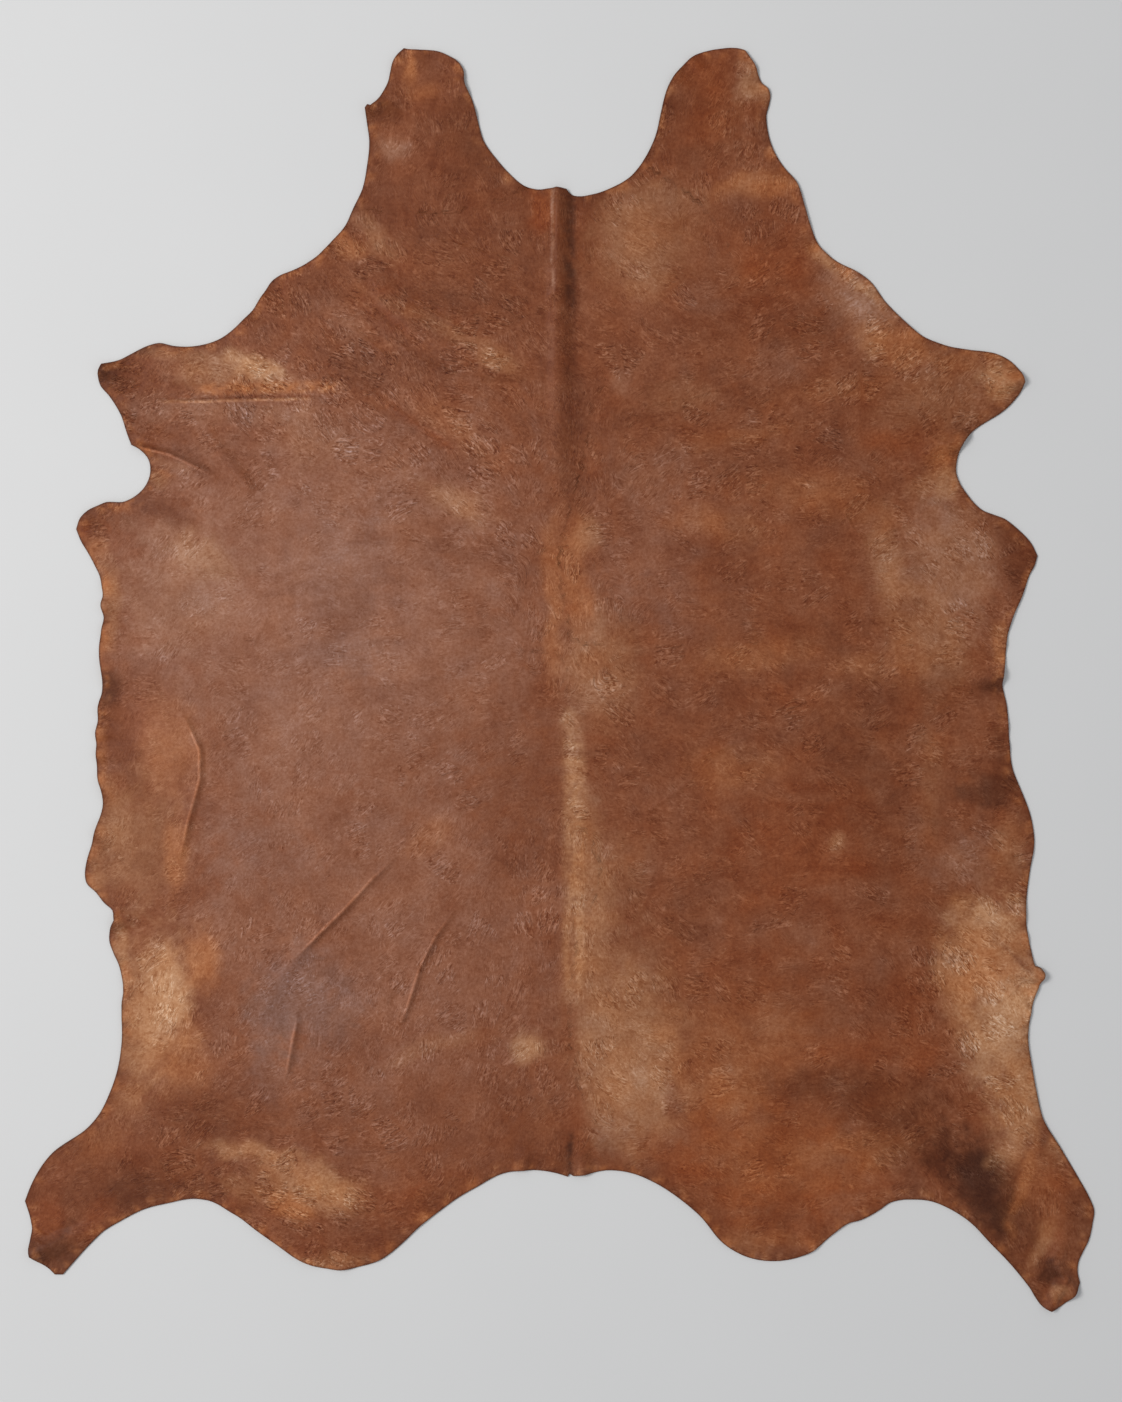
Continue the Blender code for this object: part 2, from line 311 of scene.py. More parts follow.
class Tone(Enum):
    """Colours that the dye takes on, as linear red, green and blue."""

    CHESTNUT = (0.188, 0.055, 0.021)
    ROSE_BROWN = (0.266, 0.113, 0.066)
    PALE_TAN = (0.525, 0.272, 0.138)
    TAN = (0.415, 0.186, 0.084)
    ORANGE = (0.384, 0.132, 0.045)
    RUST = (0.212, 0.047, 0.011)
    UMBER = (0.135, 0.035, 0.011)
    DARK = (0.050, 0.013, 0.005)
    SMOKE = (0.200, 0.100, 0.072)
    OLIVE = (0.290, 0.118, 0.052)
    PINK_GREY = (0.310, 0.145, 0.085)


@dataclass(frozen=True)
class FineLines:
    """Fine lines in the grain: their length, their width and how far they stray."""

    length: float
    width: float
    stray: float

    def draw(self, graph: ShaderGraph, turned: Signal, seed: Signal) -> Signal:
        """Draw soft noise out along the lines.

        Args:
            graph: the graph to add to.
            turned: place within a patch, with X along the grain.
            seed: offset of the noise in that patch.

        Returns:
            A number from about -0.5 to 0.5.
        """
        drawn = turned * (1 / self.length, 1 / self.width, 1.0) + seed
        return graph.clouds(drawn, 1.0, 1.0, 0.5, self.stray)


@dataclass(frozen=True)
class GrainPatches:
    """Patches of the grain, whose fine lines run alongside each other, near the lie of the hide there."""

    size: float
    turn: float
    gap: float = 0.14
    seed_spread: float = 60.0
    shown_least: float = 0.4
    shown_more: float = 0.8

    def lay(self, graph: ShaderGraph, place: Signal, lie: Signal) -> tuple[Signal, Signal, Signal]:
        """Lay out the patches.

        Args:
            graph: the graph to add to.
            place: where, in millimetres.
            lie: angle of the grain there, in radians.

        Returns:
            Place within the patch, turned to the grain; the patch's own offset; and how much its lines show.
        """
        cell = graph.cells(place, self.size)
        chance = cell["Color"].parts()
        angle = lie + (chance[0] - 0.5) * (2 * self.turn)
        inputs = {"Vector": place - cell["Position"], "Angle": -1.0 * angle}
        turned = graph.node("ShaderNodeVectorRotate", {"rotation_type": "Z_AXIS"}, inputs)["Vector"]
        depth = graph.cell_depth(place, self.size)
        shown = depth.ramp(0.0, self.gap) * (self.shown_least + chance[1] * self.shown_more)
        return turned, cell["Color"] * self.seed_spread, shown


@dataclass(frozen=True)
class GrainSide:
    """The dyed, waxed hair side: wrinkles, crinkles, veins, flecks and a pebbled grain over the dye.

    A light says how much each of them brightens the dye, and a rise how high it stands in the relief.  Each
    wrinkle's ridge is painted paler, as a painted highlight and partly broken wax, and a furrow beside it
    darker, as painted shade.
    """

    mottle_size: float = 13.0
    mottle_light: float = 0.25
    fleck_size: float = 3.4
    fleck_light: float = 0.35
    patches: GrainPatches = GrainPatches(38.0, 0.6)
    crumpled_size: float = 46.0
    crinkles: FineLines = FineLines(9.0, 2.9, 1.1)
    crinkled: tuple[float, float] = (-0.16, 0.10)
    crinkle_least: float = 0.5
    crinkle_light: float = 0.7
    crinkle_rise: float = 1.6
    pale: tuple[float, float] = (0.10, 0.24)
    pale_fleck: float = 0.25
    pale_light: float = 0.14
    wrinkles: FineLines = FineLines(19.0, 5.2, 1.1)
    wrinkled: tuple[float, float] = (-0.15, 0.07)
    wrinkle_spread: float = 0.12
    wrinkle_width: float = 0.06
    ridge_wax_and_highlight: float = 0.34
    ridge_rise: float = 0.5
    furrow_shade_step: float = 0.085
    furrow_painted_shade: float = 0.22
    vein_patches: GrainPatches = GrainPatches(95.0, 0.5)
    veins: FineLines = FineLines(30.0, 10.0, 0.9)
    veined_size: float = 60.0
    veined: tuple[float, float] = (0.0, 0.14)
    vein_width: float = 0.035
    vein_light: float = 0.25
    light_powers: tuple[float, float, float] = (1.0, 1.6, 2.25)
    pebble_size: float = 1.9
    pebble_slope: float = 0.25
    pebble_rise: float = 0.14
    relief_depth: float = 0.5
    roughness: float = 0.5
    roughness_spread: float = 0.3
    specular: float = 0.14
    layers: float = 2.0
    layer_roughness: float = 0.6

    def material(self) -> bpy.types.Material:
        """Build the material.

        Returns:
            The grain side's material.
        """
        graph = ShaderGraph("leather_grain")
        place = graph.place()
        # The dye attribute also holds the painted highlight and shade of the folds, the edge wave crests and
        # the spine.
        dye = graph.attribute("dye")["Color"]
        lie, crumple, _ = graph.attribute("lie")["Vector"].parts()

        def blotches(size: float) -> Signal:
            """Soft patches of a size in millimetres."""
            return graph.clouds(place, size, self.layers, self.layer_roughness)

        mottle = blotches(self.mottle_size)
        fleck = blotches(self.fleck_size)
        turned, seed, shown = self.patches.lay(graph, place, lie)
        crumpled = blotches(self.crumpled_size)
        crinkle = self.crinkles.draw(graph, turned, seed)
        spread = self.crinkle_least + crumpled.ramp(*self.crinkled) * (1 - self.crinkle_least)
        crinkles = crinkle * shown * crumple * spread
        pale = (crinkles + fleck * self.pale_fleck).ramp(*self.pale)
        wrinkle = self.wrinkles.draw(graph, turned, seed)
        spread = (crumpled + (crumple - 1.0) * self.wrinkle_spread).ramp(*self.wrinkled)
        wrinkled = shown * crumple * spread
        # Wrinkles: a pale line on each ridge, painted highlight and partly broken wax, and a dark line beside
        # it, painted shade.
        ridges = (1.0 - wrinkle.magnitude().ramp(0.0, self.wrinkle_width)) * wrinkled
        painted_furrow_shade = (1.0 - (wrinkle - self.furrow_shade_step).magnitude().ramp(0.0, self.wrinkle_width)) * wrinkled
        turned, seed, shown = self.vein_patches.lay(graph, place, lie)
        vein = self.veins.draw(graph, turned, seed).magnitude()
        veined = blotches(self.veined_size).ramp(*self.veined) * shown
        veins = (1.0 - vein.ramp(0.0, self.vein_width)) * veined

        light = 1.0 + crinkles * self.crinkle_light + fleck * (self.fleck_light + crumple * self.fleck_light)
        light = light + mottle * self.mottle_light + pale * self.pale_light
        # Ridges add painted highlight and furrows add painted shade.
        light = light + ridges * self.ridge_wax_and_highlight - painted_furrow_shade * self.furrow_painted_shade + veins * self.vein_light
        pebbles = graph.cell_depth(place, self.pebble_size).ramp(0.0, self.pebble_slope)
        relief = crinkles * self.crinkle_rise + ridges * self.ridge_rise + pebbles * self.pebble_rise
        return graph.finish(
            {"Specular IOR Level": self.specular},
            {
                "Base Color": dye * light ** self.light_powers,
                "Roughness": self.roughness - mottle * self.roughness_spread,
                "Normal": graph.bump(relief, self.relief_depth),
            },
        )


@dataclass(frozen=True)
class CutEdge:
    """The knife-cut edge: dark dye over close fibres."""

    fibre_size: float = 0.9
    fibre_flatness: float = 3.0
    fibre_light: float = 0.9
    fibre_depth: float = 0.3
    stain_size: float = 22.0
    stained: tuple[float, float] = (-0.2, 0.2)
    dark: tuple[float, float, float] = (0.060, 0.026, 0.014)
    pale: tuple[float, float, float] = (0.135, 0.062, 0.034)
    roughness: float = 0.85
    roughness_spread: float = 0.2
    specular: float = 0.25

    def material(self) -> bpy.types.Material:
        """Build the material.

        Returns:
            The cut edge's material.
        """
        graph = ShaderGraph("leather_cut_edge")
        place = graph.place()
        fibres = graph.clouds(place * (1.0, 1.0, self.fibre_flatness), self.fibre_size, 4.0, 0.7)
        stained = graph.clouds(place, self.stain_size, 2.0).ramp(*self.stained)
        return graph.finish(
            {"Specular IOR Level": self.specular},
            {
                "Base Color": graph.mix(stained, self.dark, self.pale) * (1.0 + fibres * self.fibre_light),
                "Roughness": self.roughness + fibres * self.roughness_spread,
                "Normal": graph.bump(fibres, self.fibre_depth),
            },
        )


@dataclass(frozen=True)
class FleshSide:
    """The undyed suede underside: a short nap, brushed in patches."""

    nap_size: float = 1.4
    nap_light: float = 0.5
    nap_depth: float = 0.5
    brushed_size: float = 38.0
    brushed_stray: float = 0.8
    brushed: tuple[float, float] = (-0.2, 0.2)
    dark: tuple[float, float, float] = (0.300, 0.172, 0.100)
    pale: tuple[float, float, float] = (0.430, 0.270, 0.170)
    roughness: float = 0.94
    roughness_spread: float = 0.1
    specular: float = 0.12
    sheen: float = 0.25
    sheen_roughness: float = 0.5

    def material(self) -> bpy.types.Material:
        """Build the material.

        Returns:
            The underside's material.
        """
        graph = ShaderGraph("leather_suede")
        place = graph.place()
        nap = graph.clouds(place, self.nap_size, 3.0, 0.75)
        brushed = graph.clouds(place, self.brushed_size, 4.0, 0.6, self.brushed_stray)
        colour = graph.mix(brushed.ramp(*self.brushed), self.dark, self.pale)
        return graph.finish(
            {
                "Specular IOR Level": self.specular,
                "Sheen Weight": self.sheen,
                "Sheen Roughness": self.sheen_roughness,
            },
            {
                "Base Color": colour * (1.0 + nap * self.nap_light),
                "Roughness": self.roughness + nap * self.roughness_spread,
                "Normal": graph.bump(nap + brushed, self.nap_depth),
            },
        )


@dataclass(frozen=True)
class StudioFloor:
    """A smooth pale painted floor."""

    colour: tuple[float, float, float] = (0.62, 0.62, 0.62)
    shade: float = 0.985
    shade_size: float = 260.0
    shaded: tuple[float, float] = (-0.4, 0.4)
    roughness: float = 0.9
    specular: float = 0.1

    def material(self) -> bpy.types.Material:
        """Build the material.

        Returns:
            The floor's material.
        """
        graph = ShaderGraph("studio_floor")
        shaded = graph.clouds(graph.place(), self.shade_size, 3.0).ramp(*self.shaded)
        darker = tuple(self.shade * channel for channel in self.colour)
        return graph.finish(
            {"Specular IOR Level": self.specular, "Roughness": self.roughness},
            {"Base Color": graph.mix(shaded, self.colour, darker)},
        )


# ---------------------------------------------------------------------------------------------------------
# Soft randomness
# ---------------------------------------------------------------------------------------------------------


def smooth_step(low: float, high: float, value: np.ndarray) -> np.ndarray:
    """Smooth step from 0 at low to 1 at high; high may be the smaller."""
    share = np.clip((value - low) / (high - low), 0.0, 1.0)
    return share**2 * (3 - 2 * share)


def evened(values: np.ndarray) -> np.ndarray:
    """The values, shifted and scaled so that they spread about zero by one on the whole."""
    return (values - values.mean()) / values.std()


@dataclass(frozen=True)
class Wander:
    """Smooth random offsets: how far apart they differ, how long they are at most, and which pattern."""

    size: float
    reach: float
    seed: float

    def at(self, spots: np.ndarray) -> np.ndarray:
        """Work out the offset of each spot.

        Args:
            spots: places, in millimetres.

        Returns:
            The offsets, two to a spot.
        """
        places = [Vector((x / self.size, y / self.size, self.seed)) for x, y in spots.tolist()]
        return self.reach * np.array([noise.noise_vector(place)[:2] for place in places])


@dataclass(frozen=True)
class Clouds:
    """Soft random values: how wide their patches are, how many layers they have, and which pattern.

    Each layer is finer than the one before by the gap, and weaker the greater the fall.
    """

    size: float
    layers: int
    seed: float
    fall: float = 0.7
    gap: float = 2.0

    def at(self, spots: np.ndarray) -> np.ndarray:
        """Work out the value of each spot.

        Args:
            spots: places, in millimetres.

        Returns:
            The values, evened out.
        """
        places = [(x, y, self.seed) for x, y in (spots / self.size).tolist()]
        return evened(np.array([noise.fractal(place, self.fall, self.gap, self.layers) for place in places]))


# ---------------------------------------------------------------------------------------------------------
# Rows of the tables: relief
# ---------------------------------------------------------------------------------------------------------


# How much fuller a pinched crest is than one that falls off as the square of the way to its foot.
PINCH_FULLNESS = 0.7


class Crest(Enum):
    """How the top of a fold is shaped: a full roll, or a pinched ridge whose flanks are hollow."""

    ROLL = "roll"
    PINCH = "pinch"

    def profile(self, share: np.ndarray) -> np.ndarray:
        """Work out the height as a share of the rise.

        Args:
            share: distance from the middle line as a share of the spread.

        Returns:
            1 on the line, falling to 0 at the spread and beyond.
        """
        inside = np.clip(1 - share, 0.0, None)
        if self is Crest.PINCH:
            return inside**2 * (1 + PINCH_FULLNESS * share)
        return (inside * (1 + share)) ** 2


@dataclass(frozen=True)
class Line:
    """A bent line over the hide, through a few points."""

    path: tuple[tuple[float, float], ...]

    def measure(self, spots: np.ndarray) -> tuple[np.ndarray, np.ndarray, np.ndarray]:
        """Find where spots lie against the line.

        Args:
            spots: places, in millimetres.

        Returns:
            Distance from the line, share of the way along it, and whether the spot is on its left.
        """
        corners = np.array(self.path, dtype=float)
        legs = np.diff(corners, axis=0)
        run = np.concatenate(([0.0], np.cumsum(np.linalg.norm(legs, axis=1))))
        nearest = np.full(len(spots), np.inf)
        along = np.zeros(len(spots))
        left = np.zeros(len(spots), dtype=bool)
        for leg, start, before, after in zip(legs, corners, run, run[1:]):
            share = np.clip(((spots - start) @ leg) / (leg @ leg), 0.0, 1.0)
            offset = spots - (start + share[:, None] * leg)
            distance = np.linalg.norm(offset, axis=1)
            closer = distance < nearest
            nearest = np.where(closer, distance, nearest)
            along = np.where(closer, (before + share * (after - before)) / run[-1], along)
            left = np.where(closer, leg[0] * offset[:, 1] - leg[1] * offset[:, 0] > 0, left)
        return nearest, along, left

    def near(self, spots: np.ndarray, reach: float) -> np.ndarray:
        """Tell which spots are in the box around the line, widened by a reach.

        Args:
            spots: places, in millimetres.
            reach: how much wider the box is, on each side.

        Returns:
            True for the spots in the box.
        """
        corners = np.array(self.path)
        low, high = corners.min(axis=0) - reach, corners.max(axis=0) + reach
        return np.all((spots > low) & (spots < high), axis=1)


def towards_ends(along: np.ndarray, span: float, least: float) -> np.ndarray:
    """Fade a line out over the last span of it at both ends, from a least share that its tips keep."""
    return smooth_step(0.0, span, np.minimum(along, 1 - along) + least)


@dataclass(frozen=True)
class Fold(Line):
    """A raised fold: its height at each end, its spread to its left and right, and the shape of its top."""

    rise_start: float
    rise_end: float
    spread_left: float
    spread_right: float
    crest: Crest = Crest.ROLL

    @property
    def widest(self) -> float:
        """Spread of its gentler side."""
        return max(self.spread_left, self.spread_right)

    @property
    def steepest(self) -> float:
        """Spread of its steeper side."""
        return min(self.spread_left, self.spread_right)

    def rise_at(self, along: np.ndarray) -> np.ndarray:
        """Height of the crest at a share of the way along it."""
        return self.rise_start + (self.rise_end - self.rise_start) * along

    def raise_sheet(self, spots: np.ndarray, ground: np.ndarray, kept: float) -> np.ndarray:
        """Lift the sheet along this fold.

        Args:
            spots: places, in millimetres.
            ground: height there without the fold.
            kept: share of the ground that stays under the fold.

        Returns:
            The new heights.
        """
        close = self.near(spots, self.widest)
        distance, along, left = self.measure(spots[close])
        spread = np.where(left, self.spread_left, self.spread_right)
        share = np.minimum(distance / spread, 1.0)
        raised = ground.copy()
        lifted = self.rise_at(along) * self.crest.profile(share) + kept * ground[close]
        raised[close] = np.maximum(ground[close], lifted)
        return raised


@dataclass(frozen=True)
class CreaseWearAndShade:
    """How a fold changes the colour: paler along its crest, partly rubbing and partly a painted highlight,
    and darker at the foot of its steep side, as painted shade.

    The crest's widths are in millimetres, and the foot's are shares of the steep side's spread.
    """

    crest_gain: float = 0.20
    crest_core: float = 0.6
    crest_edge: float = 2.6
    foot_loss: float = 0.2
    foot_core: float = 0.4
    foot_edge: float = 1.2
    reach: float = 2.0
    end_span: float = 0.25
    end_least: float = 0.03

    def change(self, fold: Fold, spots: np.ndarray) -> np.ndarray:
        """Work out what one fold does to the dye.

        Args:
            fold: the fold.
            spots: places, in millimetres.

        Returns:
            What the dye there is multiplied by.
        """
        change = np.ones(len(spots))
        steep = fold.steepest
        close = fold.near(spots, self.reach * steep)
        distance, along, left = fold.measure(spots[close])
        gained = self.crest_gain * fold.rise_at(along)
        crest = gained * smooth_step(self.crest_edge, self.crest_core, distance)
        foot = smooth_step(self.foot_edge * steep, self.foot_core * steep, distance)
        foot = np.where(left == (fold.spread_left < fold.spread_right), foot, 0.0)
        ends = towards_ends(along, self.end_span, self.end_least)
        # Painted highlight along the crest and painted shade at the foot of the steep side.
        change[close] += ends * (crest - self.foot_loss * foot)
        return change


@dataclass(frozen=True)
class EdgeWaves:
    """Lifted waves of the cut edge between two places on it: how many, how high, how far they reach in.

    They stray from an even spacing, and fade towards their reach by a power.
    """

    start: tuple[float, float]
    end: tuple[float, float]
    count: int
    lift: float
    reach: float
    stray: float = 0.35
    stray_turns: float = 2.3
    fade_power: float = 1.5

    def height(self, rim: Rim, run: np.ndarray, depth: np.ndarray) -> np.ndarray:
        """Work out how high the waves lift each spot.

        Args:
            rim: the cut edge.
            run: how far along the rim each spot is.
            depth: how deep inside the rim each spot is.

        Returns:
            The heights, in millimetres.
        """
        first, last = sorted(rim.run_at(spot) for spot in (self.start, self.end))
        turn = np.clip((run - first) / (last - first), 0.0, 1.0)
        uneven = turn + self.stray / self.count * np.sin(2 * math.pi * turn * self.stray_turns)
        crest = 0.5 - 0.5 * np.cos(2 * math.pi * self.count * uneven)
        fade = np.clip(np.minimum(turn, 1 - turn) * self.count, 0.0, 1.0)
        return self.lift * crest * fade * np.clip(1 - depth / self.reach, 0.0, None) ** self.fade_power


@dataclass(frozen=True)
class Swell:
    """A broad soft rise of the sheet: its middle, its radii and its height."""

    x: float
    y: float
    radius_x: float
    radius_y: float
    rise: float

    def height(self, spots: np.ndarray) -> np.ndarray:
        """Height that the swell gives to each spot."""
        across = (spots - (self.x, self.y)) / (self.radius_x, self.radius_y)
        return self.rise * np.clip(1 - (across**2).sum(axis=1), 0.0, None) ** 2


# ---------------------------------------------------------------------------------------------------------
# Rows of the tables: dye and grain
# ---------------------------------------------------------------------------------------------------------


@dataclass(frozen=True)
class Stain:
    """A soft patch of another tone: its middle, its radii, its turn in degrees, its tone and its strength.

    It is full out to the core and gone at the edge, both as shares of its radii.
    """

    x: float
    y: float
    radius_x: float
    radius_y: float
    turn: float
    tone: Tone
    strength: float
    core: float = 0.3
    edge: float = 1.45

    def cover(self, spots: np.ndarray, uneven: np.ndarray) -> np.ndarray:
        """Work out how much of the tone each spot takes.

        Args:
            spots: places, in millimetres.
            uneven: how far the patch's edge is drawn in at each spot, as a share of its radii.

        Returns:
            The shares of the tone.
        """
        angle = math.radians(self.turn)
        x, y = (spots - (self.x, self.y)).T
        along = (x * math.cos(angle) + y * math.sin(angle)) / self.radius_x
        across = (y * math.cos(angle) - x * math.sin(angle)) / self.radius_y
        return self.strength * smooth_step(self.edge, self.core, np.hypot(along, across) + uneven)


@dataclass(frozen=True)
class Streak(Line):
    """A narrow band of another tone along a line: its half width, its tone and its strength.

    It is full out to the core and gone at the edge, both as shares of its half width.
    """

    half_width: float
    tone: Tone
    strength: float
    core: float = 0.2
    edge: float = 1.6
    reach: float = 2.0
    end_span: float = 0.15
    end_least: float = 0.02

    def cover(self, spots: np.ndarray) -> np.ndarray:
        """Work out how much of the tone each spot takes; the band fades out at both ends.

        Args:
            spots: places, in millimetres.

        Returns:
            The shares of the tone.
        """
        taken = np.zeros(len(spots))
        close = self.near(spots, self.reach * self.half_width)
        distance, along, _ = self.measure(spots[close])
        ends = towards_ends(along, self.end_span, self.end_least)
        taken[close] = self.strength * ends * smooth_step(self.edge, self.core, distance / self.half_width)
        return taken


@dataclass(frozen=True)
class EdgeBlotches:
    """Blotches of a tone along the cut edge, where random values pass a threshold on one side of zero.

    They are full from the rim in to a depth, and gone at a greater depth, in millimetres.
    """

    tone: Tone
    side: int
    threshold: float
    full_depth: float
    gone_depth: float
    strength: float = 0.5

    def cover(self, values: np.ndarray, depth: np.ndarray) -> np.ndarray:
        """Work out how much of the tone each spot takes.

        Args:
            values: the random value of each spot.
            depth: how deep inside the rim each spot is.

        Returns:
            The shares of the tone.
        """
        passed = np.clip(self.side * values - self.threshold, 0.0, 1.0)
        return self.strength * smooth_step(self.gone_depth, self.full_depth, depth) * passed


@dataclass(frozen=True)
class Lie:
    """Which way the grain runs around a place, in degrees and over a radius, and how crumpled and brushed."""

    x: float
    y: float
    angle: float
    radius: float
    crumple: float
    brushed: float


# ---------------------------------------------------------------------------------------------------------
# Tables: relief
# ---------------------------------------------------------------------------------------------------------

# Main folds.  Columns: path, rise at its start and its end, spread to its left and its right, crest.
FOLDS = {
    "spine_at_neck": Fold(((-4, 632), (-5, 470)), 8.0, 2.0, 21, 6),
    "spine_below_neck": Fold(((-5, 520), (-4, 380), (2, 228)), 3.4, 0.3, 24, 14),
    "loin_crease": Fold(
        ((-210, -227), (-238, -253), (-271, -289), (-303, -320), (-334, -352)),
        1.2, 5.0, 10, 18, Crest.PINCH,
    ),
    "loin_crease_foot": Fold(((-326, -344), (-362, -388), (-378, -426)), 2.4, 0.8, 16, 14),
    "loin_crease_branch": Fold(((-332, -350), (-300, -350), (-273, -344)), 2.0, 0.4, 10, 9),
    "loin_crease_soft": Fold(((-333, -206), (-359, -239), (-366, -267)), 1.2, 0.8, 16, 14),
    "rump_crease": Fold(
        ((-137, -298), (-157, -324), (-178, -366), (-198, -430)),
        1.6, 3.6, 9, 16, Crest.PINCH,
    ),
    "rump_crease_soft": Fold(((-203, -382), (-224, -404)), 1.6, 2.2, 12, 12),
    "thigh_crease": Fold(((-333, -430), (-339, -458), (-348, -506)), 3.8, 1.4, 11, 18, Crest.PINCH),
    "flank_crease": Fold(
        ((-474, -51), (-457, -90), (-457, -128), (-472, -181), (-479, -219)),
        3.4, 2.4, 10, 20, Crest.PINCH,
    ),
    "shoulder_crease_above": Fold(((-490, 383), (-400, 377), (-300, 377)), 2.6, 1.3, 26, 13),
    "shoulder_crease_below": Fold(((-508, 351), (-400, 354), (-310, 356)), 1.7, 1.0, 8, 26, Crest.PINCH),
    "butt_roll": Fold(((-429, -622), (-370, -632), (-310, -632)), 1.5, 3.5, 28, 34),
    "left_armpit_pleat": Fold(
        ((-537, 295), (-495, 285), (-457, 267), (-438, 258)),
        5.0, 0.8, 9, 12, Crest.PINCH,
    ),
    "left_armpit_pleat_upper": Fold(((-544, 322), (-512, 309), (-482, 296)), 3.5, 0.6, 15, 10),
    "left_armpit_pleat_inner": Fold(((-447, 312), (-422, 281), (-396, 243)), 2.0, 3.2, 14, 11),
    "shoulder_sweep": Fold(((-228, 492), (-184, 446), (-138, 415), (-85, 398)), 2.4, 1.2, 30, 15),
    "left_chest_fold": Fold(((-600, 212), (-530, 224), (-448, 200)), 3.5, 1.0, 22, 28),
    "right_armpit_pleat": Fold(((514, 306), (478, 296), (446, 276)), 8.0, 1.5, 20, 14),
    "right_flank_tuck": Fold(((564, 4), (522, -2)), 8.0, 1.0, 14, 18),
    "right_teat": Fold(((612, -376), (560, -374)), 9.0, 1.0, 13, 17),
    "right_foreleg_pucker": Fold(((588, 380), (548, 372)), 8.0, 1.5, 14, 18),
    "right_shank_pucker": Fold(((652, -778), (630, -740), (640, -712)), 9.0, 2.0, 16, 14),
    "right_shank_end_roll": Fold(((622, -799), (640, -760)), 6.0, 6.0, 13, 13),
    "left_shank_end_roll": Fold(((-672, -730), (-632, -712), (-600, -700)), 8.0, 2.0, 15, 20),
    "left_head_pleat": Fold(((-245, 727), (-212, 722)), 8.0, 1.5, 13, 16),
    "left_flank_pleat": Fold(((-566, -306), (-530, -298)), 7.0, 1.0, 14, 18),
    "tail_pleat_left": Fold(((-48, -625), (-44, -592)), 4.0, 0.8, 16, 16),
    "tail_pleat_right": Fold(((30, -629), (28, -594)), 5.0, 0.8, 16, 16),
    "left_foreleg_roll": Fold(((-582, 394), (-545, 384)), 7.0, 1.5, 17, 14),
}

PINCHED_FOLDS = [fold for fold in FOLDS.values() if fold.crest is Crest.PINCH]

# Hair-thin creases, all of one height and spread.  One row for each: its path.
HAIR_CREASES = {
    "left_shoulder_long": ((-212, 434), (-186, 409), (-139, 389), (-80, 380)),
    "left_shoulder_short": ((-263, 447), (-203, 396)),
    "left_shoulder_low": ((-254, 376), (-144, 295)),
    "left_shoulder_high": ((-186, 482), (-105, 431)),
    "left_chest_arc": ((-450, 142), (-424, 135)),
    "left_chest_stroke": ((-388, 44), (-369, 82)),
    "left_shoulder_mark": ((-377, 383), (-366, 367)),
    "loin_dash": ((-152, -195), (-161, -213)),
    "flank_dash": ((-552, -24), (-521, -10)),
    "left_thigh_line": ((-428, -599), (-378, -603), (-330, -612)),
    "left_hip_line": ((-516, -606), (-469, -648)),
    "right_neck_line": ((120, 576), (186, 554)),
    "right_spine_line": ((54, 548), (120, 510)),
    "right_arc_low": ((182, -98), (238, -73)),
    "right_arc_left": ((115, -166), (166, -128)),
    "right_chest_line": ((413, 184), (464, 209)),
    "right_chest_arc": ((362, 209), (388, 171)),
    "right_sweep_high": ((104, 372), (182, 392), (254, 402)),
    "right_sweep_low": ((112, 318), (190, 340), (262, 356)),
    "right_sweep_mid": ((108, 346), (170, 360), (248, 380)),
    "neck_left_line": ((-160, 560), (-70, 535)),
    "neck_left_low": ((-150, 470), (-60, 452)),
    "teat_ray_up": ((585, -362), (562, -338)),
    "teat_ray_level": ((580, -374), (545, -372)),
    "teat_ray_down": ((585, -386), (560, -408)),
    "right_armpit_stroke": ((477, 304), (502, 290)),
    "right_armpit_stroke_low": ((470, 286), (498, 276)),
    "shank_pucker_high": ((628, -748), (642, -762)),
    "shank_pucker_low": ((634, -776), (648, -790)),
    "left_shank_mark": ((-668, -712), (-640, -722)),
    "left_shank_mark_high": ((-672, -690), (-646, -704)),
    "foreleg_mark": ((545, 380), (560, 386)),
    "foreleg_mark_low": ((548, 368), (566, 364)),
    "head_crease": ((-243, 726), (-212, 730)),
}

# Waves of the cut edge.  Columns: start and end on the edge, count, lift, reach inwards.
EDGE_WAVES = (
    EdgeWaves((-591, 146), (-602, -237), 10, 6.0, 42),
    EdgeWaves((-572, -331), (-556, -458), 2, 3.0, 40),
    EdgeWaves((606, 157), (575, -115), 6, 1.8, 34),
    EdgeWaves((602, -206), (594, -455), 5, 2.0, 34),
    EdgeWaves((-509, 427), (-261, 601), 5, 4.5, 40),
    EdgeWaves((264, 695), (523, 418), 6, 2.2, 40),
    EdgeWaves((-242, 685), (-97, 684), 5, 4.0, 34),
    EdgeWaves((108, 662), (262, 717), 5, 4.0, 34),
    EdgeWaves((447, -660), (178, -681), 3, 2.0, 45),
    EdgeWaves((-152, -674), (-466, -659), 4, 3.5, 45),
)

# Broad unevenness.  Columns: x, y, radius along x, radius along y, rise.
SWELLS = (
    Swell(-330, 120, 150, 190, 2.6),
    Swell(-300, -200, 170, 150, 3.0),
    Swell(-140, 420, 110, 140, 2.4),
    Swell(170, 470, 120, 120, 2.6),
    Swell(350, 250, 140, 120, 2.2),
    Swell(420, -330, 110, 170, 2.8),
    Swell(-180, -500, 150, 110, 2.4),
    Swell(210, -560, 130, 90, 2.2),
    Swell(-500, -560, 80, 90, 2.6),
    Swell(560, -640, 70, 90, 2.6),
    Swell(345, -207, 9, 14, 1.6),
)

# ---------------------------------------------------------------------------------------------------------
# Tables: dye and grain
# ---------------------------------------------------------------------------------------------------------

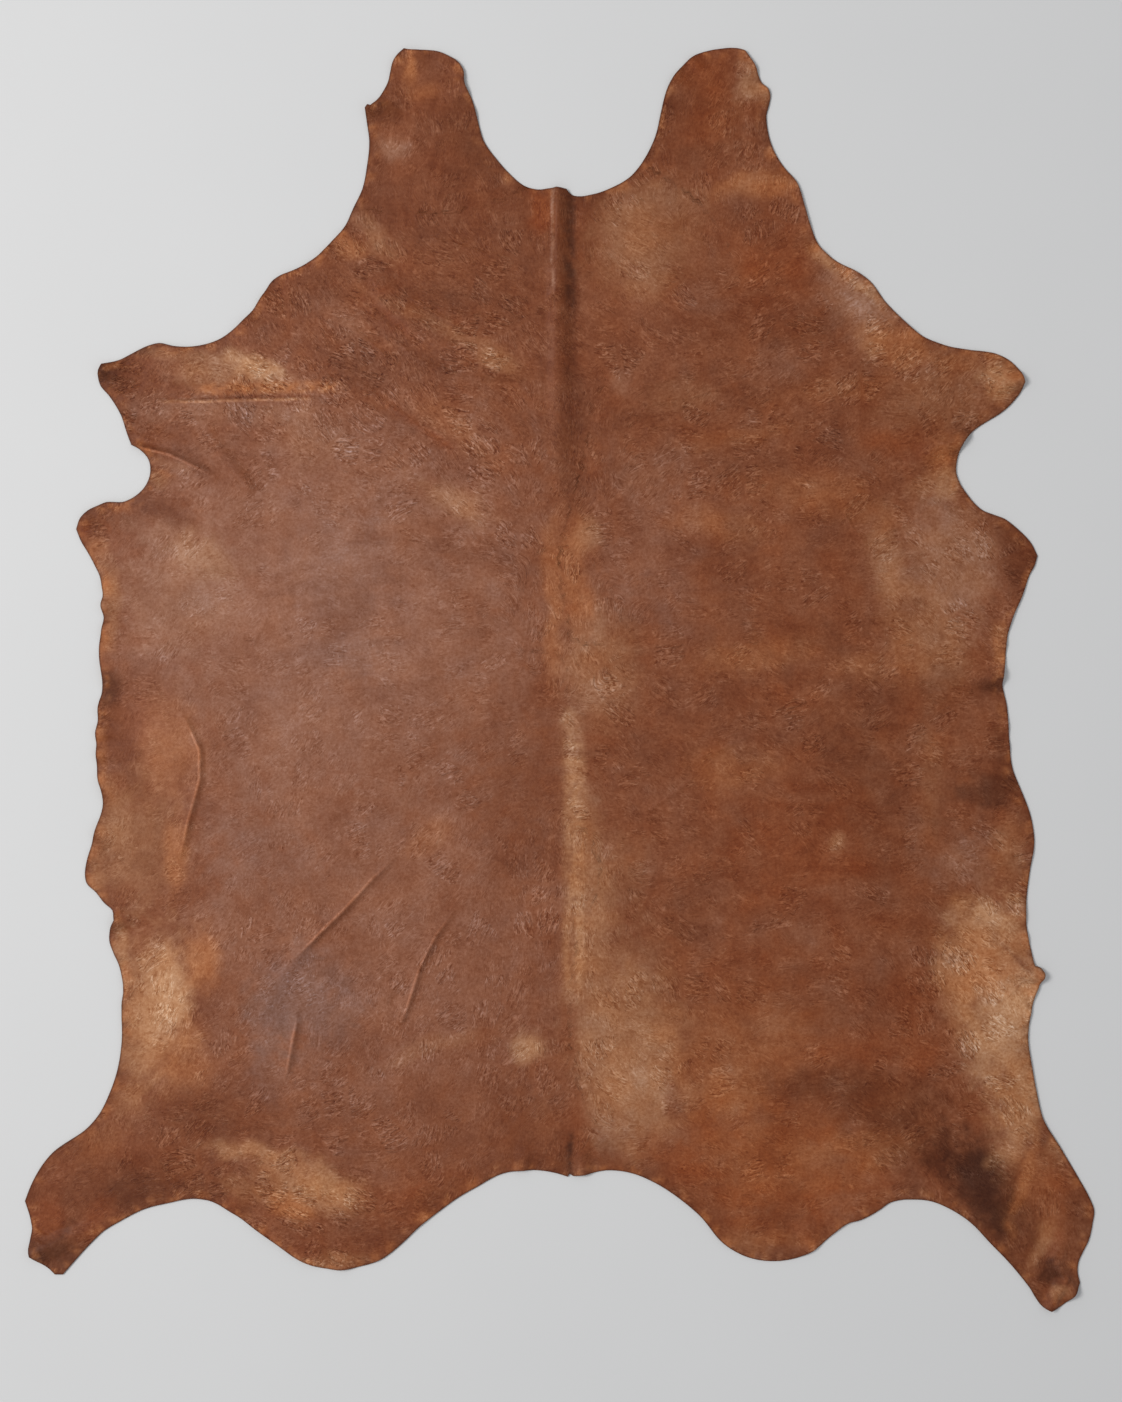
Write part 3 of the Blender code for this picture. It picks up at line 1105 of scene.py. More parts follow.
# Patches of dye by region, laid on in this order.
# Columns: x, y, radius along, radius across, turn, tone, strength.
STAINS = {
    "whole": (
        # The two broad rose-brown patches over the left half are partly the hide's own tone and partly a
        # painted sheen of the light from the left.
        Stain(-304, 76, 292, 305, 0, Tone.ROSE_BROWN, 0.8),
        Stain(-241, -356, 254, 241, 0, Tone.ROSE_BROWN, 0.5),
        Stain(121, 152, 79, 114, 0, Tone.ROSE_BROWN, 0.3),
        Stain(51, 18, 51, 76, 0, Tone.TAN, 0.32),
        Stain(-114, 558, 140, 102, 0, Tone.UMBER, 0.36),
    ),
    "left_head": (
        Stain(-120, 704, 41, 102, 14, Tone.UMBER, 0.66),
        Stain(-222, 721, 28, 14, 0, Tone.UMBER, 0.75),
        Stain(-195, 779, 6, 20, 0, Tone.ORANGE, 0.8),
        Stain(-177, 746, 28, 11, 0, Tone.ORANGE, 0.3),
        Stain(-213, 678, 20, 15, 0, Tone.PINK_GREY, 0.6),
        Stain(-231, 568, 38, 14, -50, Tone.TAN, 0.34),
    ),
    "left_shoulder": (
        Stain(-236, 497, 38, 13, 10, Tone.RUST, 0.5),
        Stain(-264, 551, 22, 11, 0, Tone.ORANGE, 0.5),
        Stain(-256, 585, 11, 18, 0, Tone.PINK_GREY, 0.4),
        Stain(-264, 493, 38, 10, 8, Tone.UMBER, 0.35),
        Stain(-213, 449, 36, 13, -50, Tone.RUST, 0.45),
        Stain(-266, 439, 30, 23, -50, Tone.PINK_GREY, 0.22),
        Stain(-307, 492, 51, 25, 25, Tone.UMBER, 0.42),
        Stain(-171, 488, 51, 8, -8, Tone.UMBER, 0.5),
        Stain(-231, 396, 84, 30, -12, Tone.UMBER, 0.52),
        Stain(-190, 469, 76, 11, -28, Tone.TAN, 0.16),
        Stain(-279, 462, 48, 15, -30, Tone.PINK_GREY, 0.1),
        Stain(-114, 425, 76, 13, -25, Tone.TAN, 0.22),
        Stain(-82, 403, 23, 13, 0, Tone.TAN, 0.35),
    ),
    "left_foreleg": (
        Stain(-393, 403, 36, 15, -20, Tone.PALE_TAN, 0.74),
        Stain(-438, 398, 56, 18, 5, Tone.TAN, 0.4),
        Stain(-412, 378, 69, 13, 0, Tone.TAN, 0.35),
        Stain(-501, 416, 51, 10, 0, Tone.TAN, 0.3),
        Stain(-533, 418, 23, 9, 15, Tone.DARK, 0.5),
        Stain(-574, 388, 19, 18, 0, Tone.DARK, 0.8),
        Stain(-546, 374, 53, 43, -20, Tone.UMBER, 0.3),
        Stain(-520, 370, 76, 15, 5, Tone.UMBER, 0.36),
        Stain(-523, 352, 33, 15, 10, Tone.PINK_GREY, 0.22),
        Stain(-419, 340, 114, 15, 0, Tone.PINK_GREY, 0.35),
        Stain(-501, 323, 51, 20, -30, Tone.UMBER, 0.2),
        Stain(-314, 304, 51, 33, -20, Tone.TAN, 0.12),
        Stain(-222, 349, 76, 13, -35, Tone.UMBER, 0.35),
        Stain(-133, 317, 64, 20, -38, Tone.ORANGE, 0.3),
    ),
    "left_armpit": (
        Stain(-508, 281, 38, 8, -25, Tone.TAN, 0.14),
        Stain(-457, 272, 43, 11, -38, Tone.UMBER, 0.5),
        Stain(-425, 289, 28, 9, -40, Tone.UMBER, 0.3),
        Stain(-523, 251, 19, 11, -25, Tone.TAN, 0.45),
        Stain(-510, 261, 13, 6, -30, Tone.ORANGE, 0.4),
        Stain(-595, 204, 33, 33, 10, Tone.UMBER, 0.84),
        Stain(-609, 203, 15, 23, 0, Tone.DARK, 0.35),
        Stain(-599, 190, 10, 18, 0, Tone.RUST, 0.6),
        Stain(-586, 162, 15, 20, 0, Tone.ORANGE, 0.45),
        Stain(-579, 109, 17, 11, 0, Tone.ORANGE, 0.5),
        Stain(-574, 81, 15, 9, 0, Tone.UMBER, 0.4),
        Stain(-580, 50, 15, 13, 0, Tone.ORANGE, 0.5),
        Stain(-497, 206, 53, 11, -24, Tone.UMBER, 0.6),
    ),
    "left_chest": (
        Stain(-469, 171, 89, 23, -15, Tone.PINK_GREY, 0.45),
        Stain(-485, 104, 76, 66, 0, Tone.PINK_GREY, 0.55),
        Stain(-450, 152, 38, 25, -30, Tone.PALE_TAN, 0.2),
        Stain(-571, 101, 14, 51, 0, Tone.TAN, 0.38),
        Stain(-279, 114, 64, 102, 0, Tone.SMOKE, 0.3),
        Stain(-241, 181, 20, 11, 0, Tone.UMBER, 0.4),
        Stain(-139, 177, 10, 11, 0, Tone.UMBER, 0.4),
        Stain(-133, 228, 51, 18, -20, Tone.TAN, 0.35),
        Stain(-101, 158, 64, 14, -15, Tone.UMBER, 0.35),
        Stain(-292, 31, 76, 25, 0, Tone.SMOKE, 0.25),
    ),
    "left_flank": (
        Stain(-574, -11, 15, 30, -5, Tone.DARK, 0.75),
        Stain(-568, -62, 11, 51, -8, Tone.UMBER, 0.6),
        Stain(-588, -83, 5, 58, -4, Tone.ORANGE, 0.55),
        Stain(-543, -100, 17, 64, 12, Tone.UMBER, 0.68),
        Stain(-497, -87, 36, 71, 0, Tone.ORANGE, 0.4),
        Stain(-533, -1, 43, 33, 0, Tone.UMBER, 0.3),
        Stain(-546, -54, 36, 43, 0, Tone.RUST, 0.24),
        Stain(-539, -210, 58, 76, 0, Tone.OLIVE, 0.72),
        Stain(-520, -191, 25, 76, 10, Tone.UMBER, 0.22),
        Stain(-568, -172, 28, 38, 0, Tone.TAN, 0.3),
        Stain(-490, -229, 13, 51, 0, Tone.ORANGE, 0.5),
        Stain(-590, -255, 15, 25, 0, Tone.TAN, 0.5),
        Stain(-520, -286, 28, 15, 0, Tone.UMBER, 0.25),
    ),
    "left_loin": (
        Stain(-393, -217, 58, 64, 0, Tone.SMOKE, 0.25),
        Stain(-355, -26, 76, 76, 0, Tone.ROSE_BROWN, 0.3),
        Stain(-44, -153, 53, 102, 0, Tone.UMBER, 0.3),
        Stain(-69, -242, 23, 15, 0, Tone.UMBER, 0.35),
        Stain(-165, -204, 38, 20, 30, Tone.ORANGE, 0.25),
        Stain(-425, -312, 43, 38, 0, Tone.ROSE_BROWN, 0.6),
    ),
    "left_thigh": (
        Stain(-556, -350, 13, 38, 0, Tone.TAN, 0.7),
        Stain(-514, -420, 51, 99, -6, Tone.TAN, 0.85),
        Stain(-497, -407, 30, 46, 0, Tone.PALE_TAN, 0.72),
        Stain(-452, -363, 25, 46, 0, Tone.ORANGE, 0.66),
        Stain(-476, -483, 36, 46, 0, Tone.ORANGE, 0.35),
        Stain(-552, -534, 30, 30, -40, Tone.TAN, 0.25),
        Stain(-320, -407, 61, 64, 0, Tone.SMOKE, 0.62),
        Stain(-370, -430, 30, 48, 0, Tone.SMOKE, 0.55),
        Stain(-368, -502, 28, 33, 0, Tone.SMOKE, 0.35),
        Stain(-441, -557, 64, 36, -10, Tone.UMBER, 0.62),
        Stain(-330, -547, 89, 28, 0, Tone.UMBER, 0.2),
        Stain(-514, -636, 94, 33, 10, Tone.UMBER, 0.7),
        Stain(-546, -648, 46, 20, 25, Tone.DARK, 0.35),
        Stain(-586, -587, 43, 23, 38, Tone.ORANGE, 0.26),
        Stain(-609, -648, 56, 30, 45, Tone.UMBER, 0.5),
        Stain(-640, -717, 38, 30, 20, Tone.DARK, 0.6),
        Stain(-654, -680, 20, 28, 0, Tone.RUST, 0.5),
        Stain(-584, -680, 33, 18, 40, Tone.RUST, 0.4),
    ),
    "left_butt": (
        Stain(-387, -598, 64, 11, -8, Tone.TAN, 0.55),
        Stain(-323, -642, 71, 30, -22, Tone.TAN, 0.62),
        Stain(-349, -669, 38, 17, -28, Tone.ORANGE, 0.72),
        Stain(-298, -648, 43, 15, -20, Tone.TAN, 0.34),
        Stain(-406, -648, 30, 15, -30, Tone.TAN, 0.3),
        Stain(-298, -740, 64, 9, 5, Tone.TAN, 0.5),
        Stain(-171, -661, 64, 28, 25, Tone.RUST, 0.55),
        Stain(-165, -658, 43, 14, 28, Tone.UMBER, 0.45),
        Stain(-38, -465, 22, 17, 0, Tone.PALE_TAN, 0.55),
        Stain(-152, -471, 76, 13, 15, Tone.TAN, 0.18),
        Stain(-44, -559, 43, 51, 0, Tone.UMBER, 0.35),
    ),
    "spine": (
        Stain(11, 342, 22, 140, 0, Tone.UMBER, 0.5),
        Stain(8, 533, 25, 76, 0, Tone.UMBER, 0.45),
        Stain(-25, 594, 14, 33, 0, Tone.RUST, 0.85),
        Stain(-5, 599, 11, 36, 0, Tone.UMBER, 0.55),
        Stain(35, 573, 19, 66, 0, Tone.RUST, 0.7),
        Stain(35, 578, 18, 71, 0, Tone.UMBER, 0.66),
        Stain(16, 266, 18, 64, 0, Tone.UMBER, 0.4),
        Stain(21, 133, 19, 76, 0, Tone.RUST, 0.34),
        Stain(21, 133, 19, 76, 0, Tone.ORANGE, 0.44),
        Stain(-7, 101, 13, 114, 0, Tone.ORANGE, 0.45),
        Stain(39, 177, 18, 28, 0, Tone.TAN, 0.35),
        Stain(13, -46, 11, 15, 0, Tone.PALE_TAN, 0.3),
    ),
    "right_neck": (
        Stain(89, 558, 56, 58, -20, Tone.TAN, 0.3),
        Stain(115, 501, 33, 20, -30, Tone.TAN, 0.18),
        Stain(140, 609, 38, 18, 0, Tone.OLIVE, 0.32),
        Stain(130, 568, 56, 71, -20, Tone.OLIVE, 0.36),
        Stain(77, 378, 17, 20, 0, Tone.PINK_GREY, 0.38),
    ),
    "right_head": (
        Stain(194, 721, 38, 38, 0, Tone.ORANGE, 0.18),
        Stain(185, 749, 64, 56, 0, Tone.RUST, 0.6),
        Stain(185, 749, 64, 56, 0, Tone.UMBER, 0.36),
        Stain(130, 723, 13, 51, -14, Tone.UMBER, 0.35),
        Stain(239, 761, 18, 28, 10, Tone.PALE_TAN, 0.42),
        Stain(261, 746, 10, 18, 0, Tone.TAN, 0.5),
        Stain(178, 670, 76, 15, 5, Tone.UMBER, 0.35),
        Stain(249, 624, 58, 15, 8, Tone.ORANGE, 0.55),
    ),
    "right_shoulder": (
        Stain(274, 530, 53, 43, 0, Tone.RUST, 0.55),
        Stain(274, 482, 51, 15, 10, Tone.RUST, 0.35),
        Stain(354, 523, 46, 11, -40, Tone.TAN, 0.6),
        Stain(384, 477, 46, 41, -35, Tone.PINK_GREY, 0.75),
        Stain(392, 495, 28, 9, -45, Tone.PALE_TAN, 0.4),
        Stain(324, 444, 64, 18, 12, Tone.UMBER, 0.4),
        Stain(432, 425, 38, 25, -20, Tone.ORANGE, 0.45),
    ),
    "right_foreleg": (
        Stain(489, 358, 81, 48, 10, Tone.OLIVE, 0.4),
        Stain(481, 340, 64, 28, 20, Tone.UMBER, 0.35),
        Stain(496, 403, 64, 13, 0, Tone.ORANGE, 0.35),
        Stain(563, 378, 28, 30, 0, Tone.TAN, 0.82),
        Stain(575, 391, 11, 13, 0, Tone.ORANGE, 0.6),
        Stain(432, 304, 43, 23, 10, Tone.RUST, 0.5),
        Stain(488, 281, 23, 25, 0, Tone.ORANGE, 0.55),
        Stain(502, 253, 15, 20, 0, Tone.TAN, 0.72),
        Stain(362, 374, 64, 15, 10, Tone.ORANGE, 0.25),
        Stain(293, 368, 64, 20, 10, Tone.UMBER, 0.22),
    ),
    "right_ribs": (
        Stain(115, 330, 76, 15, 8, Tone.UMBER, 0.35),
        Stain(229, 304, 76, 13, 15, Tone.ORANGE, 0.22),
        Stain(166, 444, 64, 15, 10, Tone.UMBER, 0.2),
        Stain(204, 342, 165, 89, 0, Tone.UMBER, 0.13),
        Stain(153, 355, 43, 18, 0, Tone.OLIVE, 0.3),
        Stain(77, 253, 43, 15, 0, Tone.UMBER, 0.22),
        Stain(343, 228, 114, 25, -15, Tone.ORANGE, 0.25),
        Stain(204, 192, 56, 20, 0, Tone.ORANGE, 0.28),
    ),
    "right_chest": (
        Stain(417, 157, 28, 64, 16, Tone.TAN, 0.34),
        Stain(432, 76, 25, 76, 10, Tone.TAN, 0.22),
        Stain(498, 149, 69, 84, 0, Tone.PINK_GREY, 0.62),
        Stain(502, 152, 58, 71, 0, Tone.OLIVE, 0.3),
        Stain(477, 50, 38, 71, 12, Tone.TAN, 0.32),
        Stain(582, 157, 25, 51, 0, Tone.UMBER, 0.65),
        Stain(563, 190, 30, 15, -35, Tone.UMBER, 0.4),
        Stain(555, 44, 11, 28, 0, Tone.ORANGE, 0.6),
    ),
    "right_flank": (
        Stain(552, -6, 20, 17, 0, Tone.DARK, 0.75),
        Stain(508, -1, 38, 30, 0, Tone.UMBER, 0.3),
        Stain(549, -143, 38, 23, 0, Tone.DARK, 0.58),
        Stain(557, -90, 11, 38, 0, Tone.UMBER, 0.55),
        Stain(515, -229, 46, 36, 0, Tone.PINK_GREY, 0.42),
        Stain(577, -223, 20, 43, 0, Tone.TAN, 0.3),
        Stain(470, -115, 18, 76, 0, Tone.TAN, 0.15),
    ),
    "right_side_patches": (
        Stain(102, 101, 43, 33, 0, Tone.SMOKE, 0.25),
        Stain(274, 399, 56, 30, 20, Tone.PINK_GREY, 0.13),
        Stain(121, 260, 51, 38, 0, Tone.PINK_GREY, 0.22),
        Stain(178, 482, 38, 20, 0, Tone.PINK_GREY, 0.14),
        Stain(407, 425, 20, 25, 0, Tone.TAN, 0.3),
        Stain(470, 253, 33, 15, 20, Tone.TAN, 0.3),
        Stain(254, 35, 76, 23, 8, Tone.ORANGE, 0.35),
        Stain(388, 15, 38, 18, 0, Tone.ORANGE, 0.3),
        Stain(328, 60, 33, 20, 0, Tone.UMBER, 0.4),
        Stain(216, -115, 64, 25, 0, Tone.ORANGE, 0.3),
    ),
    "right_loin": (
        Stain(379, -121, 64, 142, 0, Tone.UMBER, 0.46),
        Stain(305, -217, 84, 84, 0, Tone.RUST, 0.45),
        Stain(347, -208, 10, 14, 0, Tone.TAN, 0.4),
        Stain(77, -242, 38, 51, 0, Tone.OLIVE, 0.35),
        Stain(39, -280, 28, 152, 4, Tone.TAN, 0.45),
    ),
    "right_rump": (
        Stain(89, -458, 71, 140, 0, Tone.OLIVE, 0.75),
        Stain(83, -515, 56, 84, 0, Tone.PINK_GREY, 0.35),
        Stain(92, -496, 56, 102, 0, Tone.TAN, 0.5),
        Stain(166, -299, 30, 30, 0, Tone.UMBER, 0.3),
        Stain(235, -458, 102, 76, 0, Tone.ORANGE, 0.26),
        Stain(223, -388, 64, 51, 0, Tone.RUST, 0.25),
        Stain(394, -471, 89, 25, 0, Tone.RUST, 0.45),
    ),
    "right_butt": (
        Stain(397, -531, 89, 38, -12, Tone.UMBER, 0.85),
        Stain(305, -521, 69, 20, -5, Tone.UMBER, 0.5),
        Stain(274, -617, 114, 76, 0, Tone.RUST, 0.72),
        Stain(274, -610, 102, 64, 0, Tone.ORANGE, 0.26),
        Stain(206, -524, 64, 38, -5, Tone.ORANGE, 0.32),
        Stain(138, -604, 51, 18, -20, Tone.RUST, 0.4),
        Stain(261, -709, 76, 15, 0, Tone.ORANGE, 0.35),
        Stain(166, -636, 33, 28, -40, Tone.RUST, 0.5),
    ),
    "right_shank_shade": (
        Stain(439, -580, 79, 46, -20, Tone.UMBER, 0.72),
        Stain(483, -587, 46, 23, -35, Tone.DARK, 0.14),
        Stain(529, -631, 64, 41, -46, Tone.DARK, 0.94),
        Stain(567, -681, 46, 28, -50, Tone.DARK, 0.78),
        Stain(597, -731, 33, 23, -50, Tone.UMBER, 0.55),
    ),
    "right_thigh": (
        Stain(502, -407, 20, 81, 14, Tone.TAN, 0.3),
        Stain(470, -426, 43, 84, 14, Tone.RUST, 0.3),
        Stain(540, -356, 61, 76, 0, Tone.TAN, 0.85),
        Stain(569, -443, 41, 76, -20, Tone.PALE_TAN, 0.74),
        Stain(559, -299, 38, 18, 0, Tone.PALE_TAN, 0.5),
        Stain(534, -366, 43, 41, 0, Tone.ORANGE, 0.56),
        Stain(592, -515, 36, 69, -28, Tone.TAN, 0.8),
    ),
    "right_shank": (
        Stain(633, -592, 18, 46, -30, Tone.TAN, 0.55),
        Stain(582, -562, 23, 66, -24, Tone.TAN, 0.6),
        Stain(623, -636, 38, 43, 0, Tone.RUST, 0.6),
        Stain(597, -648, 38, 64, 25, Tone.ORANGE, 0.2),
        Stain(382, -598, 76, 25, 0, Tone.ORANGE, 0.26),
        Stain(658, -680, 15, 38, 0, Tone.UMBER, 0.45),
        Stain(591, -636, 9, 76, -12, Tone.ORANGE, 0.6),
        Stain(608, -718, 9, 43, -25, Tone.TAN, 0.4),
        Stain(623, -755, 19, 19, 0, Tone.DARK, 0.75),
        Stain(638, -778, 20, 8, 30, Tone.TAN, 0.6),
    ),
    "tail": (
        Stain(51, -598, 23, 20, 0, Tone.UMBER, 0.36),
        Stain(11, -610, 23, 38, 0, Tone.UMBER, 0.68),
        Stain(20, -559, 15, 51, 0, Tone.RUST, 0.35),
    ),
}

# Blotches along the cut edge.  Columns: tone, side of zero, threshold, full and gone depth.
EDGE_BLOTCHES = (
    EdgeBlotches(Tone.UMBER, 1, 0.2, 2.0, 15.0),
    EdgeBlotches(Tone.ORANGE, -1, 0.1, 4.0, 18.0),
)

# Narrow bands.  Columns: path, half width, tone, strength.
STREAKS = (
    Streak(((-470, 369), (-380, 370), (-270, 371)), 7.0, Tone.ORANGE, 0.72),
    # The thin tan line along the crest of the lower shoulder crease is a painted highlight.
    Streak(((-508, 353), (-400, 355), (-310, 356)), 2.2, Tone.TAN, 0.5),
    Streak(((-500, 359), (-430, 358), (-300, 360)), 1.6, Tone.RUST, 0.4),
    # Spine at the neck: the umber bands are partly darker dye and partly painted shadow of the fold, the dark
    # bands at the foot of its right side are painted shadow, and the thin pink-grey line left of its crest is
    # a painted highlight.
    Streak(((6, 720), (8, 520), (10, 380), (12, 240)), 12, Tone.UMBER, 0.75),
    Streak(((10, 680), (12, 580), (14, 440)), 10, Tone.UMBER, 0.85),
    Streak(((13, 690), (14, 600), (14, 460)), 6.0, Tone.DARK, 0.62),
    Streak(((14, 540), (14, 470), (14, 370)), 8.0, Tone.DARK, 0.28),
    Streak(((-9, 690), (-9, 580), (-8, 480)), 1.8, Tone.PINK_GREY, 0.7),
    Streak(((-222, 500), (-165, 491), (-100, 485), (-30, 482)), 4.0, Tone.UMBER, 0.5),
    Streak(
        ((-244, 484), (-222, 456), (-190, 424), (-152, 397), (-105, 382), (-30, 382)),
        5.0, Tone.UMBER, 0.6,
    ),
    Streak(((-230, 360), (-190, 330), (-130, 290)), 6.0, Tone.RUST, 0.4),
    Streak(((-200, 482), (-150, 455), (-105, 432)), 2.0, Tone.UMBER, 0.5),
    Streak(((15, -40), (19, -120), (20, -220), (17, -420)), 13, Tone.TAN, 0.78),
    Streak(((14, -570), (13, -628)), 4, Tone.DARK, 0.8),
)

# Lie of the grain.  Columns: x, y, angle, radius, crumple, brushed.
LIES = (
    Lie(-300, -360, 52, 190, 1.1, 0.4),
    Lie(-300, -120, 38, 170, 0.9, 0.4),
    Lie(-300, 80, 10, 130, 0.8, 0.4),
    Lie(-170, 30, -12, 110, 0.9, 0.4),
    Lie(-170, 390, -32, 140, 1.6, 0.6),
    Lie(-290, 440, -48, 90, 1.5, 0.6),
    Lie(-260, 430, -55, 55, 2.4, 0.5),
    Lie(8, 600, 88, 60, 1.0, 0.3),
    Lie(-480, 130, 28, 110, 1.0, 0.4),
    Lie(-120, -420, 62, 120, 1.1, 0.4),
    Lie(14, 300, 90, 70, 1.2, 0.6),
    Lie(14, 60, 90, 70, 1.3, 0.8),
    Lie(14, -300, 90, 80, 1.3, 0.7),
    Lie(90, 540, -35, 90, 1.0, 0.5),
    Lie(-100, -60, 20, 70, 1.0, 0.5),
    Lie(110, -80, -15, 80, 1.1, 0.6),
    Lie(110, -420, -50, 90, 1.2, 0.6),
    Lie(250, 330, 18, 150, 1.3, 0.9),
    Lie(300, 60, 4, 190, 1.15, 1.0),
    Lie(320, -260, -6, 190, 1.05, 1.0),
    Lie(540, -400, -48, 110, 1.4, 0.6),
    Lie(540, 100, -30, 100, 1.3, 0.5),
    Lie(480, 380, 25, 90, 1.4, 0.8),
    Lie(-340, -630, -8, 110, 1.4, 0.8),
    Lie(-600, -640, 45, 90, 1.0, 0.5),
    Lie(600, -690, -52, 90, 1.0, 0.8),
    Lie(270, -640, 5, 120, 1.0, 1.2),
    Lie(-190, 700, 80, 110, 1.0, 0.5),
    Lie(190, 680, 80, 110, 1.2, 0.9),
    Lie(-550, 385, 30, 60, 1.8, 0.5),
)


# ---------------------------------------------------------------------------------------------------------
# The cut edge
# ---------------------------------------------------------------------------------------------------------


@dataclass(frozen=True)
class Outline:
    """The cut edge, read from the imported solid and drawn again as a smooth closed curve.

    The small teat gets a round end.  Its blend says from where to where the edge bends onto it, as shares of
    the teat's radius.
    """

    node: str = "hide"
    step: float = 4.0
    corner_turn: float = 36.0
    underside_slope: float = -0.4
    shortest: float = 3.0
    teat: tuple[float, float] = (603.5, -374.5)
    teat_radius: float = 11.0
    teat_blend: tuple[float, float] = (1.1, 1.8)

    def packed_rim(self) -> np.ndarray:
        """Follow the rim of the solid's underside.

        Returns:
            Its corners in order, in millimetres.
        """
        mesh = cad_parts[self.node].data
        places = np.array([tuple(vertex.co) for vertex in mesh.vertices]) / MM
        _, first, corner = np.unique(np.round(places, 1), axis=0, return_index=True, return_inverse=True)
        corner = corner.ravel()
        below = [face for face in mesh.polygons if face.normal.z < self.underside_slope]
        below = [[int(corner[index]) for index in face.vertices] for face in below]
        sides = {(face[k - 1], face[k]) for face in below for k in range(len(face))}
        follows = {start: end for start, end in sides if (end, start) not in sides}
        ring = [min(follows)]
        while follows[ring[-1]] != ring[0]:
            ring.append(follows[ring[-1]])
        return places[first][ring][:, :2]

    def smooth(self) -> np.ndarray:
        """Draw the rim as a smooth curve, which keeps its sharp corners.

        Returns:
            Spots on the curve about one step apart.
        """
        spots = self.packed_rim()
        spots = spots[np.linalg.norm(spots - np.roll(spots, 1, axis=0), axis=1) > self.shortest]
        chord = np.roll(spots, -1, axis=0) - spots
        length = np.linalg.norm(chord, axis=1)[:, None]
        ahead = chord / length
        behind = np.roll(ahead, 1, axis=0)
        length_behind = np.roll(length, 1, axis=0)
        tangent = (behind * length + ahead * length_behind) / (length + length_behind)
        sharp = (ahead * behind).sum(axis=1) < math.cos(math.radians(self.corner_turn))
        samples = []
        for here in range(len(spots)):
            after = (here + 1) % len(spots)
            leave = ahead[here] if sharp[here] else tangent[here]
            arrive = ahead[here] if sharp[after] else tangent[after]
            count = max(1, round(float(length[here, 0]) / self.step))
            for t in np.arange(count) / count:
                samples.append(
                    spots[here] * (1 - t) ** 2 * (1 + 2 * t)
                    + spots[after] * t**2 * (3 - 2 * t)
                    + leave * length[here] * t * (1 - t) ** 2
                    - arrive * length[here] * t**2 * (1 - t)
                )
        return self.round_teat(np.array(samples))

    def round_teat(self, spots: np.ndarray) -> np.ndarray:
        """Move the spots near the teat onto its round end, and leave those further off where they are.

        Args:
            spots: places on the rim, in millimetres.

        Returns:
            The places after the move.
        """
        offset = spots - self.teat
        distance = np.linalg.norm(offset, axis=1)
        loose = smooth_step(*self.teat_blend, distance / self.teat_radius)
        moved = self.teat_radius + (distance - self.teat_radius) * loose
        return self.teat + offset * (moved / distance)[:, None]


class Rim:
    """The finished cut edge, with quick answers about where spots lie against it."""

    def __init__(self, points: np.ndarray, fine_step: float = 1.0) -> None:
        """Prepare the rim.

        Args:
            points: its corners in order, in millimetres.
            fine_step: how closely it is sampled for distances.
        """
        self.points = points
        self.low, self.high = points.min(axis=0), points.max(axis=0)
        chord = np.roll(points, -1, axis=0) - points
        length = np.linalg.norm(chord, axis=1)
        run = np.concatenate(([0.0], np.cumsum(length)))
        self.runs = np.arange(0.0, float(run[-1]), fine_step)
        leg = np.minimum(np.searchsorted(run, self.runs, side="right") - 1, len(points) - 1)
        share = (self.runs - run[leg]) / length[leg]
        samples = points[leg] + share[:, None] * chord[leg]
        self.tree = KDTree(len(samples))
        for index, sample in enumerate(samples.tolist()):
            self.tree.insert((*sample, 0.0), index)
        self.tree.balance()

    @property
    def turns_left(self) -> bool:
        """Whether the rim runs anticlockwise seen from above."""
        return bool(np.cross(self.points, np.roll(self.points, -1, axis=0)).sum() > 0)

    def outwards(self) -> np.ndarray:
        """Find which way is out of the sheet.

        Returns:
            A unit vector for each corner of the rim.
        """
        chord = np.roll(self.points, -1, axis=0) - np.roll(self.points, 1, axis=0)
        normal = np.column_stack((chord[:, 1], -chord[:, 0])) / np.linalg.norm(chord, axis=1)[:, None]
        return normal if self.turns_left else -normal

    def measure(self, spots: np.ndarray) -> tuple[np.ndarray, np.ndarray]:
        """Find how far along the rim and how deep inside it each spot lies.

        Args:
            spots: places, in millimetres.

        Returns:
            The run along the rim and the depth, in millimetres.
        """
        found = [self.tree.find((x, y, 0.0))[1:] for x, y in spots.tolist()]
        index, depth = (np.array(column) for column in zip(*found))
        return self.runs[index], depth

    def run_at(self, spot: tuple[float, float]) -> float:
        """How far along the rim its closest point to a spot is."""
        return float(self.runs[self.tree.find((*spot, 0.0))[1]])

    def holds(self, spots: np.ndarray, same_row: float = 1e-6) -> np.ndarray:
        """Tell which spots lie inside, a row of spots at a time.

        Args:
            spots: places, in millimetres.
            same_row: how far the y of two spots in one row may differ.

        Returns:
            True for the spots inside.
        """
        start, end = self.points, np.roll(self.points, -1, axis=0)
        inside = np.zeros(len(spots), dtype=bool)
        order = np.argsort(spots[:, 1], kind="stable")
        rows = np.split(order, np.nonzero(np.diff(spots[order, 1]) > same_row)[0] + 1)
        for row in rows:
            y = spots[row[0], 1]
            crossed = (start[:, 1] > y) != (end[:, 1] > y)
            low, high = start[crossed], end[crossed]
            where = low[:, 0] + (y - low[:, 1]) * (high[:, 0] - low[:, 0]) / (high[:, 1] - low[:, 1])
            inside[row] = np.searchsorted(np.sort(where), spots[row, 0]) % 2 == 1
        return inside

    def inset(self, depth: float, least: float = 0.93) -> np.ndarray:
        """Set spots on a line that runs inside the rim, and leave out those where it would cross itself.

        Args:
            depth: how deep inside the rim the line runs.
            least: share of that depth that each spot has to keep.

        Returns:
            The spots, in order along the rim.
        """
        spots = self.points - depth * self.outwards()
        _, found = self.measure(spots)
        return spots[found > least * depth]


